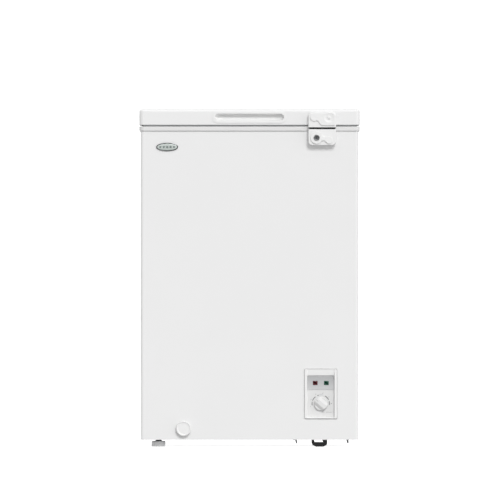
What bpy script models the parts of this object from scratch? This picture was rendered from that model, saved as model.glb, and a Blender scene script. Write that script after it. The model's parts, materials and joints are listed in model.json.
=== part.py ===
"""Chest freezer of the 100 litre class, with lid, lock, thermostat, drain, feet, basket and machine bay.

Metres, +Z up. The front faces -Y and +X is on the right of someone who faces it. The origin is on the
floor, under the middle of the overall box. Run with: blender --background --python part.py
"""

import math

import bmesh
import bpy
from mathutils import Vector

# ------------------------------------------------------------------ overall sizes
WIDTH = 0.554  # lid and collar, side to side
DEPTH = 0.500  # lid and collar, front to back
HEIGHT = 0.850  # floor to lid top
BASE_CLEARANCE = 0.0176  # floor to the cabinet's lower edge
LOCK_DEPTH = 0.0200  # cabinet face to the front of the lock, the foremost point

# ------------------------------------------------------------------ walls and clearances
GAP = 0.0003  # kept between solids that touch
PAST = 0.01  # how far cutting solids run past the surface they cut
SHEET = 0.0008  # painted steel and liner sheet
PLATE = 0.0015  # tray and hinge plate
PLASTIC = 0.0016  # moulded and vacuum-formed walls
WALL = 0.0520  # cabinet face to the inside of the liner
CORNER = 0.010  # upright corners of the cabinet and lid
FLANGE = 0.014  # edges folded inwards at the cabinet's bottom and back

# ------------------------------------------------------------------ lid, seal and collar
LID_HEIGHT = 0.0397
LID_EDGE = 0.007  # radius along the lid's top edge
SEAL_GAP = 0.0048
COLLAR_HEIGHT = 0.0111
COLLAR_OVERHANG = 0.0035
COLLAR_TAPER = 0.0022
LEDGE_WIDTH = 0.013  # step inside the collar that the basket hangs on
LEDGE_DROP = 0.0085
GASKET_INSET = 0.0065
GASKET_WIDTH = 0.016
PLUG_INSET = 0.014  # lid liner's plug to the liner wall
PLUG_DROP = 0.0138

LID_TOP = HEIGHT
LID_BOTTOM = LID_TOP - LID_HEIGHT
COLLAR_TOP = LID_BOTTOM - SEAL_GAP
COLLAR_BOTTOM = COLLAR_TOP - COLLAR_HEIGHT
LEDGE_TOP = COLLAR_TOP - LEDGE_DROP
CABINET_TOP = COLLAR_BOTTOM - GAP

# ------------------------------------------------------------------ cabinet planes
HINGE_OFFSET = 0.0120  # lid's back edge to the hinge axis
EAR_RADIUS = 0.0080
HINGE_REACH = COLLAR_OVERHANG + HINGE_OFFSET + EAR_RADIUS  # cabinet back to the rearmost point
BODY_WIDTH = WIDTH - 2 * COLLAR_OVERHANG
BODY_DEPTH = DEPTH - 2 * COLLAR_OVERHANG
Y_MID = (LOCK_DEPTH - HINGE_REACH) / 2  # centres the overall box on the origin
FRONT = Y_MID - BODY_DEPTH / 2
BACK = Y_MID + BODY_DEPTH / 2
LEFT = -BODY_WIDTH / 2
RIGHT = BODY_WIDTH / 2
LID_FRONT = Y_MID - DEPTH / 2
LID_BACK = Y_MID + DEPTH / 2
BACK_FACE = BACK + GAP + SHEET  # outside of the back panel

# ------------------------------------------------------------------ storage space
CAVITY_WIDTH = BODY_WIDTH - 2 * WALL
CAVITY_DEPTH = BODY_DEPTH - 2 * WALL
CAVITY_CORNER = 0.020
FLOOR = 0.0850  # inside of the liner's floor
STEP_TOP = 0.3120  # liner's shelf above the machine bay

# ------------------------------------------------------------------ machine bay and base
BAY_WIDTH = 0.1570  # inside, from the cabinet's right face
BAY_TOP = 0.2620
BAY_LEFT = RIGHT - BAY_WIDTH
STEP_SIDE = BAY_LEFT - 0.050  # liner wall beside the step
BASE_TOP = BASE_CLEARANCE + SHEET + GAP  # underside of the base plates, on the folded edge
LIP_DROP = 0.0096  # base lips below the cabinet's lower edge
LIP_BEND = 0.0050
LIP_SETBACK = 0.0032  # from the bay wall to the outside of the base plate's lip
TRAY_INSET = 0.0240  # tray's lip to the cabinet's right face

# ------------------------------------------------------------------ feet
FOOT_INSET_X = 0.0438
FOOT_INSET_Y = 0.0450
FOOT_RADIUS = 0.0170
FOOT_HEIGHT = 0.0148
STUD_RADIUS = 0.0040
STUD_TOP = 0.040
STIRRUP_X = RIGHT - 0.0972
STIRRUP_WIDTH = 0.0385
STIRRUP_LENGTH = 0.034
SOLE_TOP = 0.0117  # stirrup's sole, under the window

# ------------------------------------------------------------------ openings for air
LOUVRE_COUNT = 8
LOUVRE_PITCH = 0.011
LOUVRE_HEIGHT = 0.004
LOUVRE_LOW = 0.060  # cabinet's lower edge to the lowest louvre
LOUVRE_LENGTH = 0.080
LOUVRE_BACK = 0.050  # cabinet's back to the louvres
GRILLE_LAP = 0.004
GRILLE_ROWS = 11
GRILLE_SLOT = 0.006
GLAND_BORE = 0.0068

# ------------------------------------------------------------------ front fittings
LOCK_X = WIDTH / 2 - 0.0942
LOCK_WIDTH = 0.0699
LOCK_CORNER = 0.0085
LOCK_RELIEF = 0.0015
HOUSING_TOP = COLLAR_TOP - 0.0060
HOUSING_HEIGHT = 0.0413
KEEPER_BOTTOM = LID_BOTTOM - 0.0068
KEEPER_HEIGHT = 0.0372
BOLT_WIDTH = 0.0655
BOLT_THICKNESS = 0.0036
BOLT_LENGTH = 0.0230
BOLT_TRAVEL = 0.0080
BOLT_REST = 0.0005  # keeper's lower edge to the bolt's top
CYLINDER_RADIUS = 0.0070
CYLINDER_LENGTH = 0.0100
CYLINDER_X = LOCK_X - 0.0141
CYLINDER_Z = HOUSING_TOP - 0.0228

HANDLE_LENGTH = 0.1870
HANDLE_HEIGHT = 0.0280
HANDLE_RIM_BELOW = 0.0063
HANDLE_RIM_ABOVE = 0.0049
HANDLE_RIM_ENDS = 0.0072
HANDLE_DEPTH = 0.0200
HANDLE_PROUD = 0.0012
HANDLE_Z = LID_BOTTOM + 0.0178

BADGE_X = LEFT + 0.0665
BADGE_Z = COLLAR_BOTTOM - 0.0404
BADGE_WIDTH = 0.0550
BADGE_HEIGHT = 0.0209
BADGE_THICKNESS = 0.0028

PANEL_X = BAY_LEFT + 0.0628
PANEL_BOTTOM = 0.0696
PANEL_WIDTH = 0.0845
PANEL_HEIGHT = 0.1278
PANEL_PROUD = 0.0030
PANEL_SINK = 0.0065  # cabinet face to the floor of the recess
PANEL_BORDER = 0.0078
PANEL_LAP = 0.0022  # rim that covers the edge of the cabinet's opening
SLOPE_HEIGHT = 0.0150
LAMP_Z = PANEL_BOTTOM + 0.0910
LAMP_SPACING = 0.0279
LAMP_WIDTH = 0.0115
LAMP_HEIGHT = 0.0100
STRIP_BOTTOM = PANEL_BOTTOM + 0.0742
DIAL_Z = PANEL_BOTTOM + 0.0391
KNOB_RADIUS = 0.0173
KNOB_HEIGHT = 0.0165
SPINDLE_RADIUS = 0.0030
THERMOSTAT_WIDTH = 0.0380
THERMOSTAT_DEPTH = 0.0240
THERMOSTAT_HEIGHT = 0.0440
KNOB_SKIRT = 0.0050
DIAL_TILT = math.radians(-41)  # the grip bar's slant at rest

DRAIN_X = LEFT + 0.1079
DRAIN_Z = 0.0460
DRAIN_BEND_Y = FRONT + WALL + 0.040
DRAIN_BORE = 0.0060
DRAIN_WALL = 0.0018
DRAIN_CAP_RADIUS = 0.0188
DRAIN_CAP_HEIGHT = 0.0090

# ------------------------------------------------------------------ hinges
HINGE_X = 0.170
HINGE_WIDTH = 0.056
HINGE_PLATE_HEIGHT = 0.060
PIN_RADIUS = 0.0030
AXIS_Y = LID_BACK + HINGE_OFFSET
AXIS_Z = LID_BOTTOM + 0.0010
HINGE_TOP = COLLAR_BOTTOM - 0.004  # top edge of the base plate
SPRING_TURNS = 4
SPRING_WIRE = 0.0010

# ------------------------------------------------------------------ basket
BASKET_WIDTH = 0.190
BASKET_HEIGHT = 0.165
BASKET_SIDE_GAP = 0.010
WIRE_RADIUS = 0.0020
RIM_RADIUS = 0.0025
CROSS_WIRES = 6
LONG_WIRES = 3
BASKET_X = CAVITY_WIDTH / 2 - BASKET_SIDE_GAP - BASKET_WIDTH / 2
RIM_Z = LEDGE_TOP - 0.0100

# ------------------------------------------------------------------ cooling circuit
COIL_GAP = 0.0004  # tube to the sheet it runs along, beyond the common clearance
GROOVE_GAP = 0.0010  # tube to the foam round it
EVAPORATOR_RADIUS = 0.0040
EVAPORATOR_TURNS = 3
EVAPORATOR_BOTTOM = STEP_TOP + 0.045
EVAPORATOR_TOP = CABINET_TOP - 0.060
CONDENSER_RADIUS = 0.0024
CONDENSER_LEVELS = 4
COMPRESSOR_X = (BAY_LEFT + RIGHT) / 2
COMPRESSOR_Y = BACK - 0.165
COMPRESSOR_WIDTH = BAY_WIDTH - 0.045
COMPRESSOR_LENGTH = 0.160
COMPRESSOR_TOP = 0.1950
MOUNT_X = COMPRESSOR_WIDTH / 2 - 0.012
MOUNT_Y = 0.092
GROMMET_HEIGHT = 0.0150
GROMMET_RADIUS = 0.0110
GROMMET_WAIST = 0.0058
BOLT_SHANK = 0.0029


# ================================================================== outlines
def arc(centre, radius, start, end, steps):
    """Points along an arc, angles in degrees, both ends included."""
    angles = [math.radians(start + (end - start) * i / steps) for i in range(steps + 1)]
    return [(centre[0] + radius * math.cos(a), centre[1] + radius * math.sin(a)) for a in angles]


def rounded_rectangle(width, height, radius, centre=(0.0, 0.0), segments=4):
    """Outline with four rounded corners, anticlockwise."""
    half_w = width / 2 - radius
    half_h = height / 2 - radius
    outline = []
    for sx, sy, start in ((1, 1, 0), (-1, 1, 90), (-1, -1, 180), (1, -1, 270)):
        corner = (centre[0] + sx * half_w, centre[1] + sy * half_h)
        outline += arc(corner, radius, start, start + 90, segments)
    return outline


def circle(radius, centre=(0.0, 0.0), segments=16):
    return arc(centre, radius, 0, 360 * (1 - 1 / segments), segments - 1)


def ellipse(width, height, centre, segments=28):
    return [
        (centre[0] + width / 2 * math.cos(a), centre[1] + height / 2 * math.sin(a))
        for a in (2 * math.pi * i / segments for i in range(segments))
    ]


def two_lobes(first, r1, second, r2, above, below, steps=6):
    """Two circles, the first on the left, joined by two hollow arcs of the radii above and below."""

    def angle(frm, to):
        return math.degrees(math.atan2(to[1] - frm[1], to[0] - frm[0]))

    def hollow(radius, side):
        """Centre of the arc that touches both circles from outside, above (side 1) or below (-1)."""
        a = r1 + radius
        b = r2 + radius
        reach = math.dist(first, second)
        along = (a * a - b * b + reach * reach) / (2 * reach)
        off = side * math.sqrt(a * a - along * along)
        ux = (second[0] - first[0]) / reach
        uz = (second[1] - first[1]) / reach
        return (first[0] + ux * along - uz * off, first[1] + uz * along + ux * off)

    top = hollow(above, 1)
    bottom = hollow(below, -1)
    outline = arc(first, r1, angle(first, top), angle(first, bottom) + 360, 3 * steps)
    outline += arc(bottom, below, angle(bottom, first), angle(bottom, second), steps)[1:]
    outline += arc(second, r2, angle(second, bottom), angle(second, top), 3 * steps)[1:]
    outline += arc(top, above, angle(top, second) + 360, angle(top, first) + 360, steps)[1:-1]
    return outline


def smooth(points, steps=4):
    """Catmull-Rom curve through the points, as a list of more points."""
    points = [Vector(p) for p in points]
    padded = [2 * points[0] - points[1], *points, 2 * points[-1] - points[-2]]
    curve = []
    for a, b, c, d in zip(padded, padded[1:], padded[2:], padded[3:]):
        for i in range(steps):
            t = i / steps
            bend = 2 * a - 5 * b + 4 * c - d
            twist = 3 * b - 3 * c + d - a
            curve.append(0.5 * (2 * b + (c - a) * t + bend * t * t + twist * t**3))
    return curve + [points[-1]]


# ================================================================== solids, as bmesh
def finished(bm):
    bmesh.ops.recalc_face_normals(bm, faces=bm.faces)
    return bm


def stacked(rings, looped=False):
    """Solid through rings of as many points each. A looped one closes on itself and has no end caps."""
    bm = bmesh.new()
    rows = [[bm.verts.new(p) for p in ring] for ring in rings]
    pairs = list(zip(rows, rows[1:]))
    if looped:
        pairs.append((rows[-1], rows[0]))
    else:
        bm.faces.new(rows[0])
        bm.faces.new(rows[-1])
    count = len(rows[0])
    for low, high in pairs:
        for i in range(count):
            j = (i + 1) % count
            bm.faces.new((low[i], low[j], high[j], high[i]))
    return finished(bm)


def prism(outline, low, high, plane="XY"):
    """Outline extruded from low to high along the axis that its plane leaves out."""
    place = {
        "XY": lambda u, v, w: (u, v, w),
        "XZ": lambda u, v, w: (u, w, v),
        "YZ": lambda u, v, w: (w, u, v),
    }[plane]
    return stacked([[place(u, v, w) for u, v in outline] for w in (low, high)])


def box(x0, x1, y0, y1, z0, z1):
    return prism([(x0, y0), (x1, y0), (x1, y1), (x0, y1)], z0, z1)


def turned(profile, segments=16, looped=False, forward=False, centre=(0.0, 0.0, 0.0)):
    """Solid turned from (radius, height) pairs about Z or, with forward, about the axis to the front."""
    cx, cy, cz = centre
    rings = []
    for radius, height in profile:
        ring = circle(radius, segments=segments)
        if forward:
            rings.append([(cx + u, cy - height, cz + v) for u, v in ring])
        else:
            rings.append([(cx + u, cy + v, cz + height) for u, v in ring])
    return stacked(rings, looped)


def swept(points, radius, sides=6, closed=False):
    """Round bar along points, whose section is carried along without twisting."""
    points = [Vector(p) for p in points]
    count = len(points)
    rings = []
    normal = None
    for i, point in enumerate(points):
        if closed:
            before = points[i - 1]
            after = points[(i + 1) % count]
        else:
            before = points[max(i - 1, 0)]
            after = points[min(i + 1, count - 1)]
        tangent = (after - before).normalized()
        if normal is None:
            normal = tangent.orthogonal()
        normal = (normal - tangent * normal.dot(tangent)).normalized()
        across = tangent.cross(normal)
        ring = [
            point + radius * (math.cos(a) * normal + math.sin(a) * across)
            for a in (2 * math.pi * (k + 0.5) / sides for k in range(sides))
        ]
        rings.append(ring)
    return stacked(rings, closed)


def rounded_block(width, depth, low, high, corner, edge, centre_y, steps=3):
    """Block with rounded upright corners and a rounded top edge."""
    rings = [[(u, v, low) for u, v in rounded_rectangle(width, depth, corner, (0, centre_y))]]
    for i in range(steps + 1):
        angle = math.pi / 2 * i / steps
        inset = edge * (1 - math.cos(angle))
        outline = rounded_rectangle(width - 2 * inset, depth - 2 * inset, corner - inset, (0, centre_y))
        rings.append([(u, v, high - edge + edge * math.sin(angle)) for u, v in outline])
    return stacked(rings)


# ================================================================== objects
def material(name, colour, roughness, metallic=0.0):
    made = bpy.data.materials.new(name)
    made.use_nodes = True
    shader = made.node_tree.nodes["Principled BSDF"]
    shader.inputs["Base Color"].default_value = (*colour, 1.0)
    shader.inputs["Roughness"].default_value = roughness
    shader.inputs["Metallic"].default_value = metallic
    made.diffuse_color = (*colour, 1.0)
    return made


def put(name, bm, finish=None, location=(0.0, 0.0, 0.0), parent=None):
    """Object from a bmesh that is modelled about its own origin, which goes to location in the world."""
    mesh = bpy.data.meshes.new(name)
    bm.to_mesh(mesh)
    bm.free()
    if finish:
        mesh.materials.append(finish)
    obj = bpy.data.objects.new(name, mesh)
    bpy.context.scene.collection.objects.link(obj)
    obj.location = location
    if parent:
        obj.parent = parent
        obj.matrix_parent_inverse = parent.matrix_world.inverted()
    return obj


def joined(obj, bm, operation):
    """Boolean of an object and a solid in world coordinates, whose shells may cross each other."""
    tool = put("tool", bm)
    modifier = obj.modifiers.new("join", "BOOLEAN")
    modifier.solver = "EXACT"
    modifier.use_self = operation == "UNION"
    modifier.operation = operation
    modifier.object = tool
    bpy.context.view_layer.update()
    graph = bpy.context.evaluated_depsgraph_get()
    made = bpy.data.meshes.new_from_object(obj.evaluated_get(graph))
    obj.modifiers.clear()
    old = obj.data
    obj.data = made
    bpy.data.meshes.remove(old)
    tool_mesh = tool.data
    bpy.data.objects.remove(tool)
    bpy.data.meshes.remove(tool_mesh)
    return obj


def cut(obj, *solids):
    for bm in solids:
        joined(obj, bm, "DIFFERENCE")
    return obj


def add(obj, *solids):
    for bm in solids:
        joined(obj, bm, "UNION")
    return obj


def merged(solids):
    """Several bmeshes as one, with their shells left as they are."""
    whole = bmesh.new()
    for bm in solids:
        mesh = bpy.data.meshes.new("shell")
        bm.to_mesh(mesh)
        bm.free()
        whole.from_mesh(mesh)
        bpy.data.meshes.remove(mesh)
    return whole


def pivot(name, location):
    """Empty on a joint's axis, which carries the pieces that move together."""
    empty = bpy.data.objects.new(name, None)
    empty.empty_display_size = 0.03
    empty.location = location
    bpy.context.scene.collection.objects.link(empty)
    bpy.context.view_layer.update()
    return empty


def shade_round(obj, angle=35):
    obj.data.shade_smooth()
    obj.data.set_sharp_from_angle(angle=math.radians(angle))
    return obj


# ================================================================== materials
def make_finishes():
    return {
        "white_steel": material("white_steel", (0.83, 0.83, 0.83), 0.35),
        "white_plastic": material("white_plastic", (0.86, 0.86, 0.86), 0.42),
        "liner": material("liner", (0.86, 0.87, 0.88), 0.38, 0.2),
        "galvanised": material("galvanised", (0.55, 0.56, 0.57), 0.45, 0.9),
        "foam": material("foam", (0.87, 0.78, 0.55), 0.95),
        "gasket": material("gasket", (0.42, 0.43, 0.44), 0.75),
        "black_steel": material("black_steel", (0.025, 0.025, 0.027), 0.4),
        "black_plastic": material("black_plastic", (0.03, 0.03, 0.032), 0.5),
        "rubber": material("rubber", (0.04, 0.04, 0.04), 0.8),
        "zinc": material("zinc", (0.62, 0.62, 0.63), 0.35, 1.0),
        "copper": material("copper", (0.72, 0.38, 0.22), 0.3, 1.0),
        "grey_plastic": material("grey_plastic", (0.62, 0.62, 0.62), 0.5),
        "panel_grey": material("panel_grey", (0.55, 0.56, 0.56), 0.4),
        "red_lamp": material("red_lamp", (0.22, 0.02, 0.03), 0.2),
        "green_lamp": material("green_lamp", (0.01, 0.16, 0.12), 0.2),
        "chrome": material("chrome", (0.72, 0.74, 0.73), 0.15, 1.0),
        "basket_white": material("basket_white", (0.88, 0.88, 0.88), 0.35),
    }


# ================================================================== shared shapes
def cavity(offset, top=CABINET_TOP + PAST):
    """The storage space grown by offset, as two overlapping solids: the upper part and the well."""
    corner = CAVITY_CORNER + offset
    width = CAVITY_WIDTH + 2 * offset
    depth = CAVITY_DEPTH + 2 * offset
    upper = prism(rounded_rectangle(width, depth, corner, (0, Y_MID)), STEP_TOP - offset, top)
    well_left = -width / 2
    well_right = STEP_SIDE + offset
    middle = ((well_left + well_right) / 2, Y_MID)
    outline = rounded_rectangle(well_right - well_left, depth, corner, middle)
    well = prism(outline, FLOOR - offset, STEP_TOP + CAVITY_CORNER)
    return upper, well


def coil_corners(half_x, half_y, corner, segments=4):
    """One anticlockwise turn round a rounded rectangle, from the middle of its back."""
    turn = [(0.0, half_y)]
    for sx, sy, start in ((-1, 1, 90), (-1, -1, 180), (1, -1, 270), (1, 1, 360)):
        centre = (sx * (half_x - corner), sy * (half_y - corner))
        turn += arc(centre, corner, start, start + 90, segments)
    return turn


def evaporator_path():
    """Turns round the liner, climbing evenly, with a tail that runs down beside the liner into the bay."""
    off = SHEET + GAP + EVAPORATOR_RADIUS + COIL_GAP
    half_x = CAVITY_WIDTH / 2 + off
    half_y = CAVITY_DEPTH / 2 + off
    turn = coil_corners(half_x, half_y, CAVITY_CORNER + off)
    flat = [point for _ in range(EVAPORATOR_TURNS) for point in turn]
    lengths = [0.0]
    for a, b in zip(flat, flat[1:]):
        lengths.append(lengths[-1] + math.dist(a, b))
    rise = EVAPORATOR_TOP - EVAPORATOR_BOTTOM
    path = [
        (u, Y_MID + v, EVAPORATOR_BOTTOM + rise * length / lengths[-1])
        for (u, v), length in zip(flat, lengths)
    ]
    tail_y = Y_MID + 0.060
    bend = 0.020
    low = path[0][2]
    lead = [
        (half_x, tail_y, BAY_TOP - 0.030),
        (half_x, tail_y, low - bend),
        (half_x, tail_y + bend * 0.3, low - bend * 0.3),
        (half_x, tail_y + bend, low),
        (half_x, Y_MID + half_y - CAVITY_CORNER - off, low),
    ]
    corner = (half_x - CAVITY_CORNER - off, half_y - CAVITY_CORNER - off)
    lead += [(u, Y_MID + v, low) for u, v in arc(corner, CAVITY_CORNER + off, 0, 90, 3)[1:]]
    return lead + path


def condenser_path():
    """Runs along the left, front and right skins at several levels, with a tail into the bay."""
    off = SHEET + GAP + CONDENSER_RADIUS + COIL_GAP
    half_x = BODY_WIDTH / 2 - off
    front = FRONT + off
    corner = CORNER + 0.012
    rear = BACK - 0.060
    low = BAY_TOP + 0.060
    pitch = (CABINET_TOP - 0.080 - low) / (CONDENSER_LEVELS - 1)
    path = [
        (half_x, rear, BAY_TOP - 0.030),
        (half_x, rear, low - 0.020),
        (half_x, rear - 0.006, low - 0.006),
    ]
    side = 1
    for level in range(CONDENSER_LEVELS):
        z = low + pitch * level
        run = [(side * half_x, rear - 0.020)]
        start = 0 if side > 0 else 180
        first = arc((side * (half_x - corner), front + corner), corner, start, start - side * 90, 3)
        second = [(-u, v) for u, v in reversed(first)]
        run += first + second + [(-side * half_x, rear - 0.020)]
        path += [(u, v, z) for u, v in run]
        if level < CONDENSER_LEVELS - 1:
            path += [
                (-side * half_x, rear, z + 0.020),
                (-side * half_x, rear, z + pitch - 0.020),
            ]
        side = -side
    return path


def drain_path():
    """Centre line of the drain tube, from the liner's floor down and out of the front."""
    bend = 0.014
    turn = arc((DRAIN_BEND_Y - bend, DRAIN_Z + bend), bend, 0, -90, 4)
    lower = [(DRAIN_X, v, z) for v, z in turn]
    return [(DRAIN_X, DRAIN_BEND_Y, FLOOR - SHEET - GAP)] + lower + [(DRAIN_X, FRONT - SHEET, DRAIN_Z)]


# ================================================================== cabinet
def make_outer_shell(finish):
    body = rounded_rectangle(BODY_WIDTH, BODY_DEPTH, CORNER, (0, Y_MID))
    centre = (0, Y_MID)
    inner = rounded_rectangle(BODY_WIDTH - 2 * SHEET, BODY_DEPTH - 2 * SHEET, CORNER - SHEET, centre)
    opening = rounded_rectangle(BODY_WIDTH - 2 * FLANGE, BODY_DEPTH - 2 * FLANGE, 0.004, centre)
    shell = put("outer_shell", prism(body, BASE_CLEARANCE, CABINET_TOP), finish["white_steel"])
    cut(shell, prism(inner, BASE_CLEARANCE + SHEET, CABINET_TOP + PAST))
    cut(shell, prism(opening, BASE_CLEARANCE - PAST, BASE_CLEARANCE + PAST))
    back_half = BODY_WIDTH / 2 - FLANGE
    back_low = BASE_CLEARANCE + FLANGE
    cut(shell, box(-back_half, back_half, BACK - 0.005, BACK + PAST, back_low, CABINET_TOP + PAST))
    cut(shell, prism(panel_outline(GAP - PANEL_LAP), FRONT - PAST, FRONT + 0.005, "XZ"))
    hole = circle(DRAIN_BORE + DRAIN_WALL + GAP, (DRAIN_X, DRAIN_Z), 12)
    cut(shell, prism(hole, FRONT - PAST, FRONT + 0.005, "XZ"))
    louvre_back = BACK - LOUVRE_BACK
    louvre_front = louvre_back - LOUVRE_LENGTH
    for i in range(LOUVRE_COUNT):
        z = BASE_CLEARANCE + LOUVRE_LOW + LOUVRE_PITCH * i
        cut(shell, box(RIGHT - 0.005, RIGHT + PAST, louvre_front, louvre_back, z, z + LOUVRE_HEIGHT))
    return shell


def make_back_panel(finish):
    panel = put(
        "back_panel",
        box(LEFT + 0.003, RIGHT - 0.003, BACK + GAP, BACK_FACE, BASE_CLEARANCE + 0.002, CABINET_TOP),
        finish["white_steel"],
    )
    cut(panel, box(*bay_window(0), BACK - PAST, BACK + PAST, *bay_window(1)))
    return panel


def bay_window(axis):
    """Low and high edge of the back panel's opening to the bay, along X (0) or Z (1)."""
    if axis == 0:
        return BAY_LEFT + 0.006, RIGHT - FLANGE - 0.003
    return BASE_CLEARANCE + FLANGE + 0.004, BAY_TOP - 0.008


def make_rear_grille(finish):
    x0, x1 = bay_window(0)
    z0, z1 = bay_window(1)
    lap = GRILLE_LAP
    near = BACK_FACE + GAP
    plate = box(x0 - lap, x1 + lap, near, near + SHEET, z0 - lap, z1 + lap)
    grille = put("rear_grille", plate, finish["galvanised"])
    pitch = (z1 - z0 - 0.060) / GRILLE_ROWS
    for i in range(GRILLE_ROWS):
        z = z0 + 0.045 + pitch * i
        cut(grille, box(x0 + 0.012, x1 - 0.012, near - PAST, near + PAST, z, z + GRILLE_SLOT))
    return cut(grille, prism(circle(GLAND_BORE, gland_centre(), 12), near - PAST, near + PAST, "XZ"))


def gland_centre():
    """Where the supply cord leaves the grille, in X and Z."""
    return bay_window(0)[1] - 0.020, bay_window(1)[0] + 0.018


def make_insulation(finish):
    inset = SHEET + GAP
    wide = BODY_WIDTH - 2 * inset
    deep = BODY_DEPTH - 2 * inset
    outline = rounded_rectangle(wide, deep, CORNER - inset, (0, Y_MID))
    foam = put("insulation", prism(outline, BASE_TOP + SHEET + GAP, CABINET_TOP), finish["foam"])
    cut(foam, box(BAY_LEFT, RIGHT + PAST, FRONT - PAST, BACK + PAST, 0, BAY_TOP))
    cut(foam, *cavity(SHEET + GAP))
    cut(foam, swept(evaporator_path(), EVAPORATOR_RADIUS + GROOVE_GAP))
    cut(foam, swept(condenser_path(), CONDENSER_RADIUS + GROOVE_GAP))
    cut(foam, swept(drain_path(), DRAIN_BORE + DRAIN_WALL + 0.0006, 10))
    for y in foot_rows():
        bore = turned([(STUD_RADIUS + 0.002, 0), (STUD_RADIUS + 0.002, STUD_TOP + 0.003)], 8)
        bmesh.ops.translate(bore, verts=bore.verts, vec=(LEFT + FOOT_INSET_X, y, 0))
        cut(foam, bore)
    return foam


def make_inner_liner(finish):
    upper, well = cavity(SHEET, CABINET_TOP)
    liner = put("inner_liner", upper, finish["liner"])
    add(liner, well)
    cut(liner, *cavity(0))
    bore = [(DRAIN_BORE, FLOOR - PAST), (DRAIN_BORE, FLOOR + PAST)]
    return cut(liner, turned(bore, 10, centre=(DRAIN_X, DRAIN_BEND_Y, 0)))


def make_collar(finish):
    centre = (0, Y_MID)

    def ring(inset, z):
        corner = CORNER + 0.002 - inset
        outline = rounded_rectangle(WIDTH - 2 * inset, DEPTH - 2 * inset, corner, centre)
        return [(u, v, z) for u, v in outline]

    lowest = ring(COLLAR_TAPER, COLLAR_BOTTOM)
    block = stacked([lowest, ring(0, COLLAR_BOTTOM + 0.005), ring(0, COLLAR_TOP)])
    collar = put("top_collar", block, finish["white_plastic"])
    mouth = rounded_rectangle(CAVITY_WIDTH, CAVITY_DEPTH, CAVITY_CORNER, centre)
    cut(collar, prism(mouth, COLLAR_BOTTOM - PAST, COLLAR_TOP + PAST))
    wide = CAVITY_WIDTH + 2 * LEDGE_WIDTH
    deep = CAVITY_DEPTH + 2 * LEDGE_WIDTH
    ledge = rounded_rectangle(wide, deep, CAVITY_CORNER + LEDGE_WIDTH, centre)
    return cut(collar, prism(ledge, LEDGE_TOP, COLLAR_TOP + PAST))


def lip_profile(x, thickness):
    """Section of a base plate's edge that bends down, with its outer face at x."""
    bottom = BASE_CLEARANCE - LIP_DROP
    top = BASE_TOP + thickness
    centre = (x - LIP_BEND, top - LIP_BEND)
    inside = x - LIP_BEND - 0.004
    outer = arc(centre, LIP_BEND, 0, 90, 4)
    inner = arc(centre, LIP_BEND - thickness, 90, 0, 4)
    return [(x, bottom), *outer, (inside, top), (inside, BASE_TOP), *inner, (x - thickness, bottom)]


def base_sheet(name, x0, x1, thickness, finish):
    """Plate on the cabinet's folded edge whose right end bends down through the opening in the floor."""
    inset = SHEET + GAP
    flat = box(x0, x1 - LIP_BEND, FRONT + inset, BACK - inset, BASE_TOP, BASE_TOP + thickness)
    plate = put(name, flat, finish)
    lip_y0 = FRONT + FLANGE + 0.001
    lip_y1 = BACK - FLANGE - 0.001
    return add(plate, prism(lip_profile(x1, thickness), lip_y0, lip_y1, "XZ"))


def foot_rows():
    return FRONT + FOOT_INSET_Y, BACK - FOOT_INSET_Y


def make_base(finish):
    split = BAY_LEFT + LIP_SETBACK
    base = base_sheet("bottom_plate", LEFT + CORNER + 0.001, split, SHEET, finish["galvanised"])
    for y in foot_rows():
        hole = circle(STUD_RADIUS + 0.0006, (LEFT + FOOT_INSET_X, y), 10)
        cut(base, prism(hole, 0, STUD_TOP))
    right = RIGHT - TRAY_INSET
    tray = base_sheet("compressor_tray", split + 0.0015, right, PLATE, finish["galvanised"])
    for x, y in mount_points():
        cut(tray, prism(circle(0.0033, (x, y), 10), 0, 0.05))
    return base, tray


def make_bay_lining(finish):
    x0 = BAY_LEFT + GAP
    x1 = RIGHT - SHEET - GAP
    z0 = BASE_TOP + PLATE + GAP
    z1 = BAY_TOP - GAP
    upright = [(x0, z1), (x0, z0), (x0 + SHEET, z0), (x0 + SHEET, z1 - SHEET)]
    outline = upright + [(x1, z1 - SHEET), (x1, z1)]
    bent = prism(outline, FRONT + CORNER, BACK - CORNER, "XZ")
    lining = put("bay_lining", bent, finish["galvanised"])
    for path, radius in ((evaporator_path(), EVAPORATOR_RADIUS), (condenser_path(), CONDENSER_RADIUS)):
        x, y, z = path[0]
        bore = [(radius + 0.001, z - 0.001), (radius + 0.001, BAY_TOP + PAST)]
        cut(lining, turned(bore, 8, centre=(x, y, 0)))
    return lining


# ================================================================== feet
def levelling_foot():
    """Ribbed disc with its stud, about the middle of its underside."""
    ribs = 18
    rings = []
    for inset, z in ((0.0016, 0.0), (0.0, 0.0016), (0.0, FOOT_HEIGHT - 0.0010), (0.0012, FOOT_HEIGHT)):
        ring = []
        for i in range(2 * ribs):
            radius = FOOT_RADIUS - inset - (0.0009 if i % 2 else 0.0)
            angle = math.pi * i / ribs
            ring.append((radius * math.cos(angle), radius * math.sin(angle), z))
        rings.append(ring)
    return stacked(rings)


def make_left_foot(name, y, finish):
    centre = (LEFT + FOOT_INSET_X, y, 0.0)
    foot = put(name, levelling_foot(), finish["grey_plastic"], centre)
    shoulder = BASE_TOP - GAP - 0.0003
    stud = [
        (0.0080, FOOT_HEIGHT - 0.001),
        (0.0050, shoulder),
        (STUD_RADIUS, shoulder),
        (STUD_RADIUS, STUD_TOP),
    ]
    return add(foot, turned(stud, 12, centre=centre))


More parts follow.
